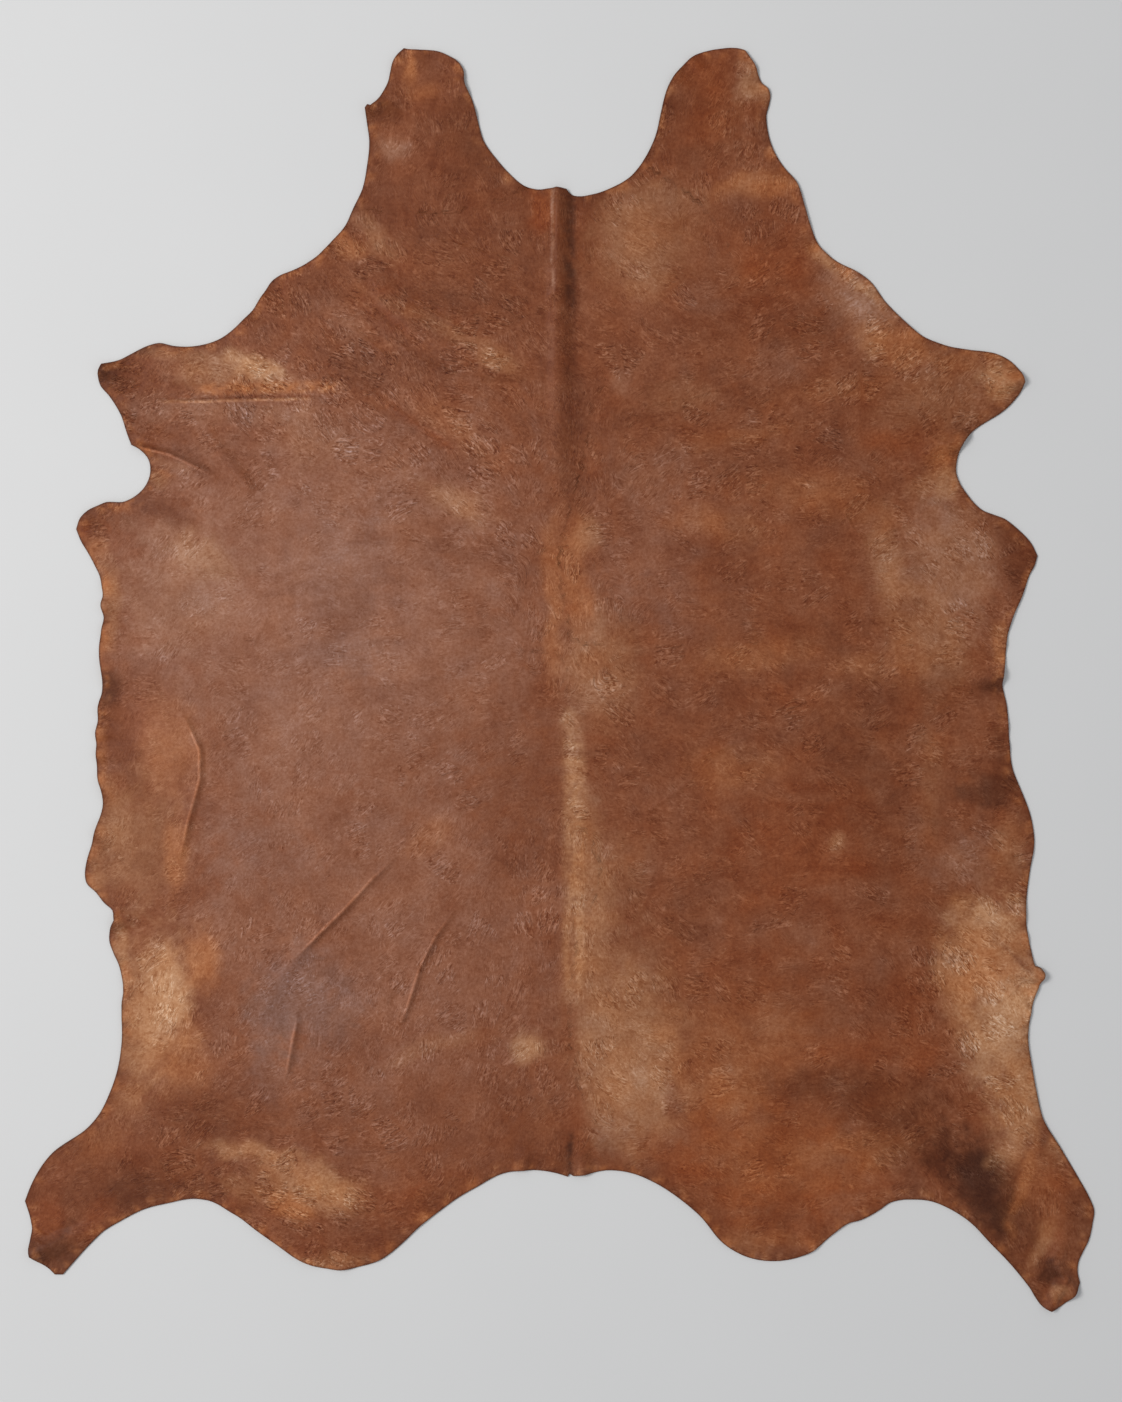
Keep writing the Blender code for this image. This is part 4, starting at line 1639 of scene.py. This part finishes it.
@dataclass(frozen=True)
class Lattice:
    """A triangular lattice of spots, named by row and column: its origin and its finest step."""

    origin: np.ndarray
    step: float

    def places(self, keys: np.ndarray) -> np.ndarray:
        """Work out where spots of the lattice are.

        Args:
            keys: their row and column numbers.

        Returns:
            Their places, in millimetres.
        """
        row, column = keys.T
        x = self.origin[0] + (column + row / 2) * self.step
        y = self.origin[1] + row * self.step * ROW_RATIO
        return np.column_stack((x, y))

    def keys_in_box(self, low: np.ndarray, high: np.ndarray, stride: int) -> np.ndarray:
        """Find the spots in a box, taking one in every stride both ways.

        Args:
            low: the box's corner with the least x and y.
            high: its opposite corner.
            stride: how many steps apart the spots are.

        Returns:
            Their row and column numbers.
        """
        row_step = self.step * ROW_RATIO * stride
        bottom = math.floor((low[1] - self.origin[1]) / row_step)
        top = math.ceil((high[1] - self.origin[1]) / row_step)
        keys = []
        for row in stride * np.arange(bottom, top + 1):
            first = math.floor(((low[0] - self.origin[0]) / self.step - row / 2) / stride)
            last = math.ceil(((high[0] - self.origin[0]) / self.step - row / 2) / stride)
            column = stride * np.arange(first, last + 1)
            keys.append(np.column_stack((np.full(len(column), row), column)))
        return np.concatenate(keys)

    def keys_along(self, line: Line, reach: float, stride: int) -> np.ndarray:
        """Find the spots near a line, taking one in every stride both ways.

        Args:
            line: the line.
            reach: how far from it the spots may be.
            stride: how many steps apart the spots are.

        Returns:
            Their row and column numbers.
        """
        corners = np.array(line.path, dtype=float)
        keys = self.keys_in_box(corners.min(axis=0) - reach, corners.max(axis=0) + reach, stride)
        distance, _, _ = line.measure(self.places(keys))
        return keys[distance < reach]


# ---------------------------------------------------------------------------------------------------------
# The dye
# ---------------------------------------------------------------------------------------------------------


def grain_at(spots: np.ndarray, least_weight: float = 1e-6) -> tuple[np.ndarray, np.ndarray, np.ndarray]:
    """Work out the lie of the grain at each spot from the rows around it.

    Args:
        spots: places, in millimetres.
        least_weight: keeps the mean sound far from every row.

    Returns:
        The angle in radians, how crumpled and how brushed the grain is.
    """
    total = np.full(len(spots), least_weight)
    lie = np.zeros((len(spots), 4))
    for row in LIES:
        weight = np.exp(-(((spots - (row.x, row.y)) / row.radius) ** 2).sum(axis=1))
        turn = 2 * math.radians(row.angle)
        lie += weight[:, None] * (math.cos(turn), math.sin(turn), row.crumple, row.brushed)
        total += weight
    cosine, sine, crumple, brushed = (lie / total[:, None]).T
    return np.arctan2(sine, cosine) / 2, crumple, brushed


@dataclass(frozen=True)
class BrushedClouds:
    """Soft random values drawn out along the lie of the grain: how wide, how far each way, and which pattern.

    They are a sum over steps along the grain, whose patches overlap by more the greater the overlap.
    """

    size: float
    reach: float
    seed: float
    layers: int = 2
    overlap: float = 1.2

    def at(self, spots: np.ndarray) -> np.ndarray:
        """Work out the value of each spot.

        Args:
            spots: places, in millimetres.

        Returns:
            The values, evened out.
        """
        clouds = Clouds(self.size, self.layers, self.seed)
        total = clouds.at(spots)
        steps = max(2, round(self.overlap * self.reach / self.size))
        for sense in (-1.0, 1.0):
            places, last = spots, None
            for _ in range(steps):
                angle = grain_at(places)[0]
                way = np.column_stack((np.cos(angle), np.sin(angle)))
                if last is not None:
                    way *= np.where((way * last).sum(axis=1) < 0, -1.0, 1.0)[:, None]
                places, last = places + sense * self.reach / steps * way, way
                total += clouds.at(places)
        return evened(total)


@dataclass(frozen=True)
class Strength:
    """How much a pattern counts where the grain is plain, and how much more where it is brushed."""

    plain: float
    brushed: float

    def at(self, brushed: np.ndarray) -> np.ndarray:
        """How much the pattern counts where the grain is that much brushed."""
        return self.plain + self.brushed * brushed


class Coat:
    """The dye on a set of spots, laid on tone over tone."""

    def __init__(self, count: int, ground: Tone) -> None:
        """Start with one even tone.

        Args:
            count: how many spots there are.
            ground: the tone.
        """
        self.colour = np.tile(np.array(ground.value), (count, 1))

    def lay(self, cover: np.ndarray, tone: Tone) -> None:
        """Lay a tone over the dye, as thick as the cover at each spot."""
        self.colour += cover[:, None] * (np.array(tone.value) - self.colour)

    def shade(self, change: np.ndarray, powers: tuple[float, float, float]) -> None:
        """Multiply the dye by the change at each spot, raised to a power for each channel."""
        self.colour *= change[:, None] ** powers


@dataclass(frozen=True)
class Dye:
    """How the grain side is coloured: its tones, the patterns that break them up, its rubbed edges, and
    painted highlight and shade along its folds, edge wave crests and spine.

    The strays bend the shapes in the tables, and the edge shares say how far each pattern draws in the edge
    of a stain.  The powers say how much more a change tells on green and blue than on red.  Depths are
    measured in from the rim.
    """

    ground: Tone = Tone.CHESTNUT
    streaks: BrushedClouds = BrushedClouds(26.0, 40.0, 5.0)
    fine_streaks: BrushedClouds = BrushedClouds(11.0, 22.0, 25.0)
    patches: Clouds = Clouds(62.0, 4, 45.0)
    warmth: Clouds = Clouds(42.0, 4, 65.0)
    mottles: Clouds = Clouds(26.0, 3, 105.0)
    blotches: Clouds = Clouds(15.0, 2, 85.0)
    wide_stray: Wander = Wander(90.0, 13.0, 20.0)
    close_stray: Wander = Wander(32.0, 9.0, 40.0)
    streak_stray: Wander = Wander(30.0, 2.0, 80.0)
    edge_fine_streaks: float = 0.07
    edge_streaks: float = 0.05
    edge_mottles: float = 0.10
    break_middle: float = 0.8
    break_spread: float = 0.3
    break_limits: tuple[float, float] = (0.3, 1.1)
    patch_light: Strength = Strength(0.045, 0.015)
    mottle_light: Strength = Strength(0.01, 0.022)
    streak_light: Strength = Strength(0.0, 0.012)
    fine_light: Strength = Strength(0.022, 0.010)
    light_limits: tuple[float, float] = (0.5, 1.6)
    light_powers: tuple[float, float, float] = (1.0, 1.5, 1.9)
    warming: Strength = Strength(0.02, 0.075)
    warm_channels: tuple[float, float, float] = (0.0, -0.5, -1.2)
    crease_wear_and_shade: CreaseWearAndShade = CreaseWearAndShade()
    wave_crest_rub_and_highlight: float = 0.30
    rim_darkening: float = 0.11
    rim_darkening_depths: tuple[float, float] = (40.0, 5.0)
    rub_and_shade_powers: tuple[float, float, float] = (1.0, 1.2, 1.4)
    cut_tone: Tone = Tone.DARK
    cut_strength: float = 0.75
    cut_depths: tuple[float, float] = (2.6, 0.0)

    def colours(self, spots: np.ndarray, depth: np.ndarray, lift: np.ndarray,
                brushed: np.ndarray) -> np.ndarray:
        """Dye a set of spots of the grain side.

        Args:
            spots: places, in millimetres.
            depth: how deep inside the rim each spot is.
            lift: how high the edge waves lift each spot, as a share of the highest.
            brushed: how brushed the grain is at each spot.

        Returns:
            Linear red, green and blue of each spot.
        """
        streaks = self.streaks.at(spots)
        fine_streaks = self.fine_streaks.at(spots)
        mottles = self.mottles.at(spots)
        coat = Coat(len(spots), self.ground)

        strayed = spots + self.wide_stray.at(spots) + self.close_stray.at(spots)
        uneven = self.edge_fine_streaks * fine_streaks + self.edge_streaks * streaks
        uneven += self.edge_mottles * mottles
        for stain in chain.from_iterable(STAINS.values()):
            coat.lay(stain.cover(strayed, uneven), stain.tone)
        blotches = self.blotches.at(spots)
        for row in EDGE_BLOTCHES:
            coat.lay(row.cover(blotches, depth), row.tone)
        broken = np.clip(self.break_middle + self.break_spread * fine_streaks, *self.break_limits)
        strayed = spots + self.streak_stray.at(spots)
        for streak in STREAKS:
            coat.lay(streak.cover(strayed) * broken, streak.tone)

        # Pinched folds: a painted highlight along each crest, partly rubbing too, and painted shade at the
        # foot of the steep side.
        for fold in PINCHED_FOLDS:
            coat.shade(self.crease_wear_and_shade.change(fold, spots), self.rub_and_shade_powers)
        patches = self.patch_light.at(brushed) * self.patches.at(spots)
        light = 1 + patches + self.mottle_light.at(brushed) * mottles
        light += self.streak_light.at(brushed) * streaks + self.fine_light.at(brushed) * fine_streaks
        coat.shade(np.clip(light, *self.light_limits), self.light_powers)
        warmth = self.warming.at(brushed)[:, None] * self.warmth.at(spots)[:, None]
        coat.colour *= np.exp(warmth * self.warm_channels)
        # The crests of the edge waves are made paler, partly rubbing and partly a painted highlight, and the
        # band near the rim is made darker to balance them.
        rim_darkened = self.rim_darkening * smooth_step(*self.rim_darkening_depths, depth)
        coat.shade(1 + (self.wave_crest_rub_and_highlight * lift - rim_darkened), self.rub_and_shade_powers)
        coat.lay(self.cut_strength * smooth_step(*self.cut_depths, depth), self.cut_tone)
        return coat.colour


# ---------------------------------------------------------------------------------------------------------
# The hide
# ---------------------------------------------------------------------------------------------------------


class Side(IntEnum):
    """The sides of the sheet, numbered as their finishes are in the material slots."""

    GRAIN = 0
    CUT = 1
    FLESH = 2


FINISHES = {Side.GRAIN: GrainSide(), Side.CUT: CutEdge(), Side.FLESH: FleshSide()}


@dataclass
class Hide:
    """The leather sheet: its flat size in metres, how it settles, and how closely it is meshed.

    A stride is how many steps of the lattice its spots are apart: wide over the sheet, closer along folds and
    narrow bands, and closest along sharp crests.  The underside has strides of its own.
    """

    flat_width: float = 1.357
    flat_length: float = 1.602
    flat_area: float = 1.496
    thickness: float = 1.8
    edge_bulge: float = 0.25
    finest_step: float = 1.45
    wide_stride: int = 4
    fold_stride: int = 2
    crest_stride: int = 1
    narrow_band: float = 9.0
    under_stride: int = 12
    under_rim_stride: int = 6
    under_rim_reach: float = 46.0
    clearance: float = 1.9
    inset_depth: float = 2.6
    least_gap: float = 0.001
    hair_rise: float = 1.05
    hair_fall: float = 0.6
    hair_spread: float = 4.2
    hair_stray: Wander = Wander(20.0, 2.4, 17.0)
    kept_ground: float = 0.6
    ripples: tuple[Wander, ...] = (Wander(150.0, 0.9, 3.0), Wander(52.0, 0.32, 11.0))
    ripple_gain: float = 2.0
    dye: Dye = Dye()
    rim: Rim = field(init=False)
    lattice: Lattice = field(init=False)
    hair: list[Fold] = field(init=False)

    def __post_init__(self) -> None:
        """Read the outline, and prepare the lattice and the hair-thin creases."""
        self.rim = Rim(Outline().smooth())
        self.lattice = Lattice(self.rim.low, self.finest_step)
        rises, spreads = (self.hair_rise, self.hair_rise * self.hair_fall), (self.hair_spread,) * 2
        self.hair = [Fold(path, *rises, *spreads, Crest.PINCH) for path in HAIR_CREASES.values()]

    def build(self) -> bpy.types.Object:
        """Mesh the sheet: the grain side finely, the underside coarsely, and the cut edge between them.

        Returns:
            The hide, as one closed mesh.
        """
        top, top_faces = self.triangulate(self.top_spots())
        under, under_faces = self.triangulate(self.under_spots())
        count = len(self.rim.points)
        run, depth = self.rim.measure(top)
        top_height = self.height(top, run, depth, fine=True)
        under_height = self.height(under, *self.rim.measure(under), fine=False)
        under_height[:count] = top_height[:count]
        bulge = self.rim.points + self.edge_bulge * self.rim.outwards()
        places = np.concatenate((
            np.column_stack((top, top_height + self.thickness)),
            np.column_stack((under, under_height)),
            np.column_stack((bulge, top_height[:count] + self.thickness / 2)),
        ))
        first_under, first_middle = len(top), len(top) + len(under)
        turned = [[first_under + index for index in reversed(face)] for face in under_faces]
        hide = self.join(places, {
            Side.GRAIN: top_faces,
            Side.FLESH: turned,
            Side.CUT: self.walls(first_under, first_middle),
        })
        self.mark_sharp_rim(hide.data, first_under)
        self.paint(hide.data, top, run, depth)
        return hide

    def top_spots(self) -> np.ndarray:
        """Set the spots of the grain side: close along creases, wider elsewhere.

        Returns:
            The spots inside the rim, in millimetres.
        """
        keys = [self.lattice.keys_in_box(self.rim.low, self.rim.high, self.wide_stride)]
        for fold in FOLDS.values():
            keys.append(self.lattice.keys_along(fold, fold.widest, self.fold_stride))
        for fold in self.hair + PINCHED_FOLDS:
            keys.append(self.lattice.keys_along(fold, self.hair_spread, self.crest_stride))
        for streak in STREAKS:
            if streak.half_width < self.narrow_band:
                reach = streak.edge * streak.half_width
                keys.append(self.lattice.keys_along(streak, reach, self.fold_stride))
        return np.concatenate((self.rim.inset(self.inset_depth), self.clear_of_rim(keys, self.inset_depth)))

    def under_spots(self) -> np.ndarray:
        """Set the spots of the underside: close under the folds and near the rim, wide elsewhere.

        Returns:
            The spots inside the rim, in millimetres.
        """
        near_rim = self.lattice.keys_in_box(self.rim.low, self.rim.high, self.under_rim_stride)
        _, depth = self.rim.measure(self.lattice.places(near_rim))
        keys = [
            self.lattice.keys_in_box(self.rim.low, self.rim.high, self.under_stride),
            near_rim[depth < self.under_rim_reach],
        ]
        for fold in FOLDS.values():
            keys.append(self.lattice.keys_along(fold, fold.widest, self.wide_stride))
        return self.clear_of_rim(keys, 0.0)

    def clear_of_rim(self, keys: list[np.ndarray], depth: float) -> np.ndarray:
        """Keep the spots that lie inside the rim, well clear of a depth.

        Args:
            keys: row and column numbers of the lattice, in which a spot may come more than once.
            depth: how deep inside the rim other spots lie already.

        Returns:
            The spots that are kept, each once, in millimetres.
        """
        spots = self.lattice.places(np.unique(np.concatenate(keys), axis=0))
        spots = spots[self.rim.holds(spots)]
        _, found = self.rim.measure(spots)
        return spots[found > depth + self.clearance]

    def triangulate(self, inner: np.ndarray) -> tuple[np.ndarray, list]:
        """Fill the rim with triangles.

        Args:
            inner: the spots inside it.

        Returns:
            All spots, the rim's first and in order, and the triangles.
        """
        count = len(self.rim.points)
        spots = np.concatenate((self.rim.points, inner))
        corners = [tuple(spot) for spot in spots]
        sides = [(here, (here + 1) % count) for here in range(count)]
        found, _, faces, sources, _, _ = delaunay_2d_cdt(corners, sides, [], INSIDE_SIDES, self.least_gap)
        order = np.array([source[0] for source in sources])
        assert len(found) == len(spots), "two spots of the hide fell together"
        return spots, order[np.array(faces)].tolist()

    def height(self, spots: np.ndarray, run: np.ndarray, depth: np.ndarray, fine: bool) -> np.ndarray:
        """Work out the height of the sheet's underside above the floor.

        Args:
            spots: places, in millimetres.
            run: how far along the rim each is.
            depth: how deep inside the rim each is.
            fine: whether the hair-thin creases are wanted.

        Returns:
            The heights, in millimetres.
        """
        height = np.zeros(len(spots))
        for swell in SWELLS:
            height += swell.height(spots)
        for ripple in self.ripples:
            height += np.clip(ripple.at(spots)[:, 0] * self.ripple_gain, 0.0, None)
        for wave in EDGE_WAVES:
            height += wave.height(self.rim, run, depth)
        for fold in FOLDS.values():
            height = fold.raise_sheet(spots, height, self.kept_ground)
        if fine:
            strayed = spots + self.hair_stray.at(spots)
            for fold in self.hair:
                height = fold.raise_sheet(strayed, height, 1.0)
        return height

    def walls(self, first_under: int, first_middle: int) -> list:
        """Close the cut edge with two rows of faces, which meet at its bulge.

        Args:
            first_under: number of the underside's first corner.
            first_middle: number of the bulge's first corner.

        Returns:
            The faces.
        """
        count = len(self.rim.points)
        walls = []
        for here in range(count):
            after = (here + 1) % count
            walls.append([after, here, first_middle + here, first_middle + after])
            walls.append([first_middle + after, first_middle + here, first_under + here, first_under + after])
        return [wall[::-1] for wall in walls] if self.rim.turns_left else walls

    def join(self, places: np.ndarray, faces: dict[Side, list]) -> bpy.types.Object:
        """Make one mesh of all the sides, with a finish for each.

        Args:
            places: the mesh's points, in millimetres.
            faces: the faces of each side.

        Returns:
            The hide.
        """
        mesh = bpy.data.meshes.new("leather_hide")
        mesh.from_pydata((places * MM).tolist(), [], list(chain.from_iterable(faces.values())))
        mesh.polygons.foreach_set("use_smooth", [True] * len(mesh.polygons))
        hide = bpy.data.objects.new("leather_hide", mesh)
        bpy.context.scene.collection.objects.link(hide)
        for side in Side:
            mesh.materials.append(FINISHES[side].material())
        slots = [int(side) for side, its_faces in faces.items() for _ in its_faces]
        mesh.polygons.foreach_set("material_index", slots)
        return hide

    def mark_sharp_rim(self, mesh: bpy.types.Mesh, first_under: int) -> None:
        """Keep the shading crisp where the knife left an arris.

        Args:
            mesh: the hide's mesh.
            first_under: number of the underside's first corner.
        """
        count = len(self.rim.points)
        rims = set()
        for first in (0, first_under):
            rims |= {frozenset((first + here, first + (here + 1) % count)) for here in range(count)}
        for edge in mesh.edges:
            edge.use_edge_sharp = frozenset(edge.vertices) in rims

    def paint(self, mesh: bpy.types.Mesh, spots: np.ndarray, run: np.ndarray, depth: np.ndarray) -> None:
        """Lay the colour, which is dye with painted highlight and shade, and the lie of the grain on the
        mesh's points, of which the grain side's come first.

        Args:
            mesh: the hide's mesh.
            spots: where the points of the grain side are, in millimetres.
            run: how far along the rim they are.
            depth: how deep inside the rim they are.
        """
        angle, crumple, brushed = grain_at(spots)
        # How far the edge waves lift each spot, which sets the painted highlight on their crests.
        lift = sum(wave.height(self.rim, run, depth) / wave.lift for wave in EDGE_WAVES)
        colours = np.tile(np.array((*self.dye.ground.value, 1.0)), (len(mesh.vertices), 1))
        colours[: len(spots), :3] = self.dye.colours(spots, depth, lift, brushed)
        dye = mesh.attributes.new("dye", "FLOAT_COLOR", "POINT")
        dye.data.foreach_set("color", colours.ravel())
        grain = np.zeros((len(mesh.vertices), 3))
        grain[: len(spots), :2] = np.column_stack((angle, crumple))
        lie = mesh.attributes.new("lie", "FLOAT_VECTOR", "POINT")
        lie.data.foreach_set("vector", grain.ravel())

    def dress(self, hide: bpy.types.Object) -> None:
        """Args:
            hide: the finished piece.
        """
        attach(hide, "root")
        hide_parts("hide")


# ---------------------------------------------------------------------------------------------------------
# The studio
# ---------------------------------------------------------------------------------------------------------


@dataclass(frozen=True)
class Softbox:
    """A square light: where it stands, its side, its power, its colour, and where it aims."""

    name: str
    place: tuple[float, float, float]
    side: float
    power: float
    colour: tuple[float, float, float]
    aim: tuple[float, float, float] = (0.0, 0.0, 0.0)

    def build(self) -> None:
        """Hang the light."""
        light = bpy.data.lights.new(self.name, "AREA")
        light.shape = "SQUARE"
        light.size = self.side
        light.energy = self.power
        light.color = self.colour
        lamp = bpy.data.objects.new(self.name, light)
        lamp.location = self.place
        lamp.rotation_euler = (Vector(self.aim) - Vector(self.place)).to_track_quat("-Z", "Y").to_euler()
        bpy.context.scene.collection.objects.link(lamp)


@dataclass
class Studio:
    """The pale floor, the soft light and the camera straight above, in metres."""

    floor_side: float = 60.0
    floor_gap: float = 0.0003
    sky: tuple[float, float, float] = (0.95, 0.97, 1.0)
    sky_strength: float = 0.53
    view_middle: tuple[float, float] = (0.0018, -0.0273)
    view_height: float = 1.7805
    lens: float = 50.0
    sensor: float = 36.0
    lights: tuple[Softbox, ...] = (
        Softbox("key_light", (-2.9, 0.7, 4.0), 1.8, 168.0, (1.0, 0.985, 0.965), (0.4, 0.15, 0.0)),
    )

    def build(self) -> bpy.types.Object:
        """Set up the floor, the lights, the sky and the camera.

        Returns:
            The floor.
        """
        for light in self.lights:
            light.build()
        self.build_sky()
        self.build_camera()
        return self.build_floor()

    def build_floor(self) -> bpy.types.Object:
        """Lay the floor just under the hide.

        Returns:
            The floor.
        """
        half = self.floor_side / 2
        sides = ((-half, -half), (half, -half), (half, half), (-half, half))
        mesh = bpy.data.meshes.new("studio_floor")
        mesh.from_pydata([(x, y, -self.floor_gap) for x, y in sides], [], [(0, 1, 2, 3)])
        mesh.materials.append(StudioFloor().material())
        floor = bpy.data.objects.new("studio_floor", mesh)
        bpy.context.scene.collection.objects.link(floor)
        return floor

    def build_sky(self) -> None:
        """Fill the studio with even light."""
        world = bpy.data.worlds.new("studio")
        world.use_nodes = True
        background = world.node_tree.nodes["Background"]
        background.inputs["Color"].default_value = (*self.sky, 1.0)
        background.inputs["Strength"].default_value = self.sky_strength
        bpy.context.scene.world = world

    def build_camera(self) -> None:
        """Hang the camera straight above the hide, with the neck at the top of the view."""
        data = bpy.data.cameras.new("overhead_camera")
        data.lens = self.lens
        data.sensor_width = self.sensor
        camera = bpy.data.objects.new("overhead_camera", data)
        camera.location = (*self.view_middle, self.view_height * self.lens / self.sensor)
        bpy.context.scene.collection.objects.link(camera)
        bpy.context.scene.camera = camera


def main() -> None:
    """Build the studio and the hide."""
    logging.basicConfig(level=logging.INFO, format="%(name)s: %(message)s")
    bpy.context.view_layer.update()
    noise.seed_set(PATTERN_SEED)
    bpy.context.scene.view_settings.view_transform = "Standard"
    studio = Studio()
    floor = studio.build()
    log.info("%s is %.0f m across", floor.name, studio.floor_side)
    sheet = Hide()
    hide = sheet.build()
    sheet.dress(hide)
    log.info("%s has %d faces", hide.name, len(hide.data.polygons))


if __name__ == "__main__":
    main()
